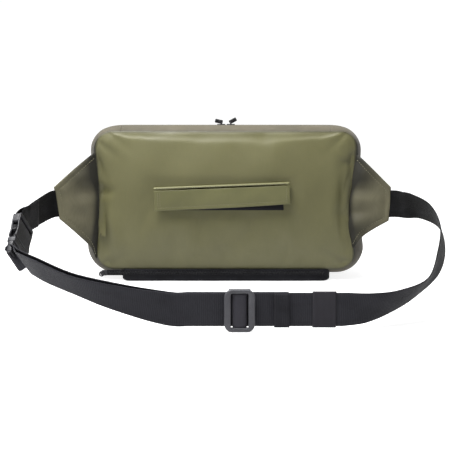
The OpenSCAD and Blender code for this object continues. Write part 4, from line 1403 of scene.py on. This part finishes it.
build_flap_header()
flap_edge = FLAP_W / 2 - 5
flap_lines = [flap_line(-flap_edge - 1, FLAP_HEM, flap_edge + 1, FLAP_HEM)]
flap_lines += [flap_line(x, 3, x, FLAP_H - 6) for x in (-flap_edge, -flap_edge + 3, flap_edge)]
flap_sewing = stitches("pocket_flap_stitches", flap_lines, (0, -1, 0), *FLAP_STITCH)
hand_over(flap_sewing, "pocket_flap", "panel_olive")
build_flap()
header_line = on_flap([(x, -7.2, 3.4) for x in np.linspace(-FLAP_W / 2 + 3, FLAP_W / 2 - 3, 60)])
header_sewing = stitches("flap_header_stitches", [header_line], (0, -1, 0.2), *FLAP_STITCH)
hand_over(header_sewing, "bag", "panel_olive")

POCKET_DROP = 17.0
POCKET_SLIDER_X, POCKET_PEG = -74.0, 3.5


def on_pocket_zip(x, y):
    """The frame of a zip part that faces the wearer, at x and y in the flap's frame."""
    return FLAP_PLACE @ Matrix.Translation((x, y, -POCKET_DROP)) @ UPRIGHT


coil("pocket_zip_coil", 160, on_pocket_zip(0, -0.9))
# The tape's lower edge reaches 7 mm further down at its right end, where a dark sliver of it shows under
# the flap's lifted end; the tape is real, and this widening stands in for the shade under the flap.
tape("pocket_zip_tape", 172, 22, on_pocket_zip(0, -0.5), 0.1, 7.0)
pocket_slider_place = on_pocket_zip(POCKET_SLIDER_X, -0.9)
hand_over(slider_body("pocket_slider_body", pocket_slider_place @ Matrix.Diagonal((1, 0.8, 0.72, 1))),
          "pocket_slider", "zip_slider", "pocket_slider")
peg_line = [pocket_slider_place @ Vector((POCKET_PEG, 0, z)) for z in (2.4, 3.4, 4.6)]
pocket_peg = tube("pocket_slider_peg", peg_line, 0.95, slider_metal, sides=12)
hand_over(pocket_peg, "pocket_slider", "zip_slider")
pocket_pin = on_pocket_zip(POCKET_SLIDER_X + POCKET_PEG, -4.5)
pull("pocket_pull", "pocket_pull_tab", pocket_pin, 15.0, 3.4, 0.8, 0.9)


# ---------- Lower zip ----------

lower_low, lower_high = cad_box_mm("lower_zip_coil")
LOWER_X = (lower_low[0] + lower_high[0]) / 2 - 5
LOWER_LENGTH = lower_high[0] - lower_low[0]
LOWER_SLIDER_X = -176.0
LOOP_R = 3.2


def on_lower_zip(x, behind=0.0):
    place = Matrix.Translation((x, lower_high[1] + behind, (lower_low[2] + lower_high[2]) / 2))
    return place @ UPRIGHT


coil("lower_zip_coil", LOWER_LENGTH - 16, on_lower_zip(LOWER_X))
tape("lower_zip_tape", LOWER_LENGTH - 10, 8, on_lower_zip(LOWER_X, 0.4))
lower_slider_place = on_lower_zip(LOWER_SLIDER_X)
lower_peg = []
for heights, radii, sides in (((2.8, 4.4, 6.0), 0.9, 12), ((5.3, 5.5, 5.9, 6.1), (2.0, 2.5, 2.5, 2.0), 16)):
    peg_line = [lower_slider_place @ Vector((-2, 0, z)) for z in heights]
    lower_peg.append(tube("lower_peg", peg_line, radii, slider_metal, sides=sides))
lower_plate = lower_slider_place @ Matrix.Diagonal((0.84, 0.76, 0.78, 1))
lower_piece = slider_body("lower_slider_body", lower_plate, *lower_peg)
hand_over(lower_piece, "lower_slider", "zip_slider", "lower_slider")
loop_low, loop_high = cad_box_mm("lower_pull_loop")
loop_angles = np.arange(28) * 2 * np.pi / 28
loop_line = (loop_low + loop_high) / 2 + np.stack(
    [LOOP_R * np.cos(loop_angles), 0.15 * np.sin(3 * loop_angles), LOOP_R * np.sin(loop_angles)], axis=1)
hand_over(tube("lower_pull_cord", loop_line, 0.8, pull_rubber, closed=True, sides=10), "lower_pull_loop",
          "zip_pull", "lower_pull_loop")


# ---------- Floor ----------

FLOOR_CORNERS = [(-9000, -6000, -0.2), (9000, -6000, -0.2), (9000, 12000, -0.2), (-9000, 12000, -0.2)]
floor_finish = Finish("floor")
floor_grain = floor_finish.mix(floor_finish.noise(400), (0.36, 0.36, 0.36, 1), (0.38, 0.38, 0.38, 1))
floor_finish.surface(floor_grain, 0.9, Specular_IOR_Level=0.1, Emission_Color=(1, 1, 1, 1),
                     Emission_Strength=0.83)
floor_paper = floor_finish.raised((floor_finish.noise(3), 0.01), strength=0.1)
solid("floor", FLOOR_CORNERS, [(0, 1, 2, 3)], floor_paper, closed=False)
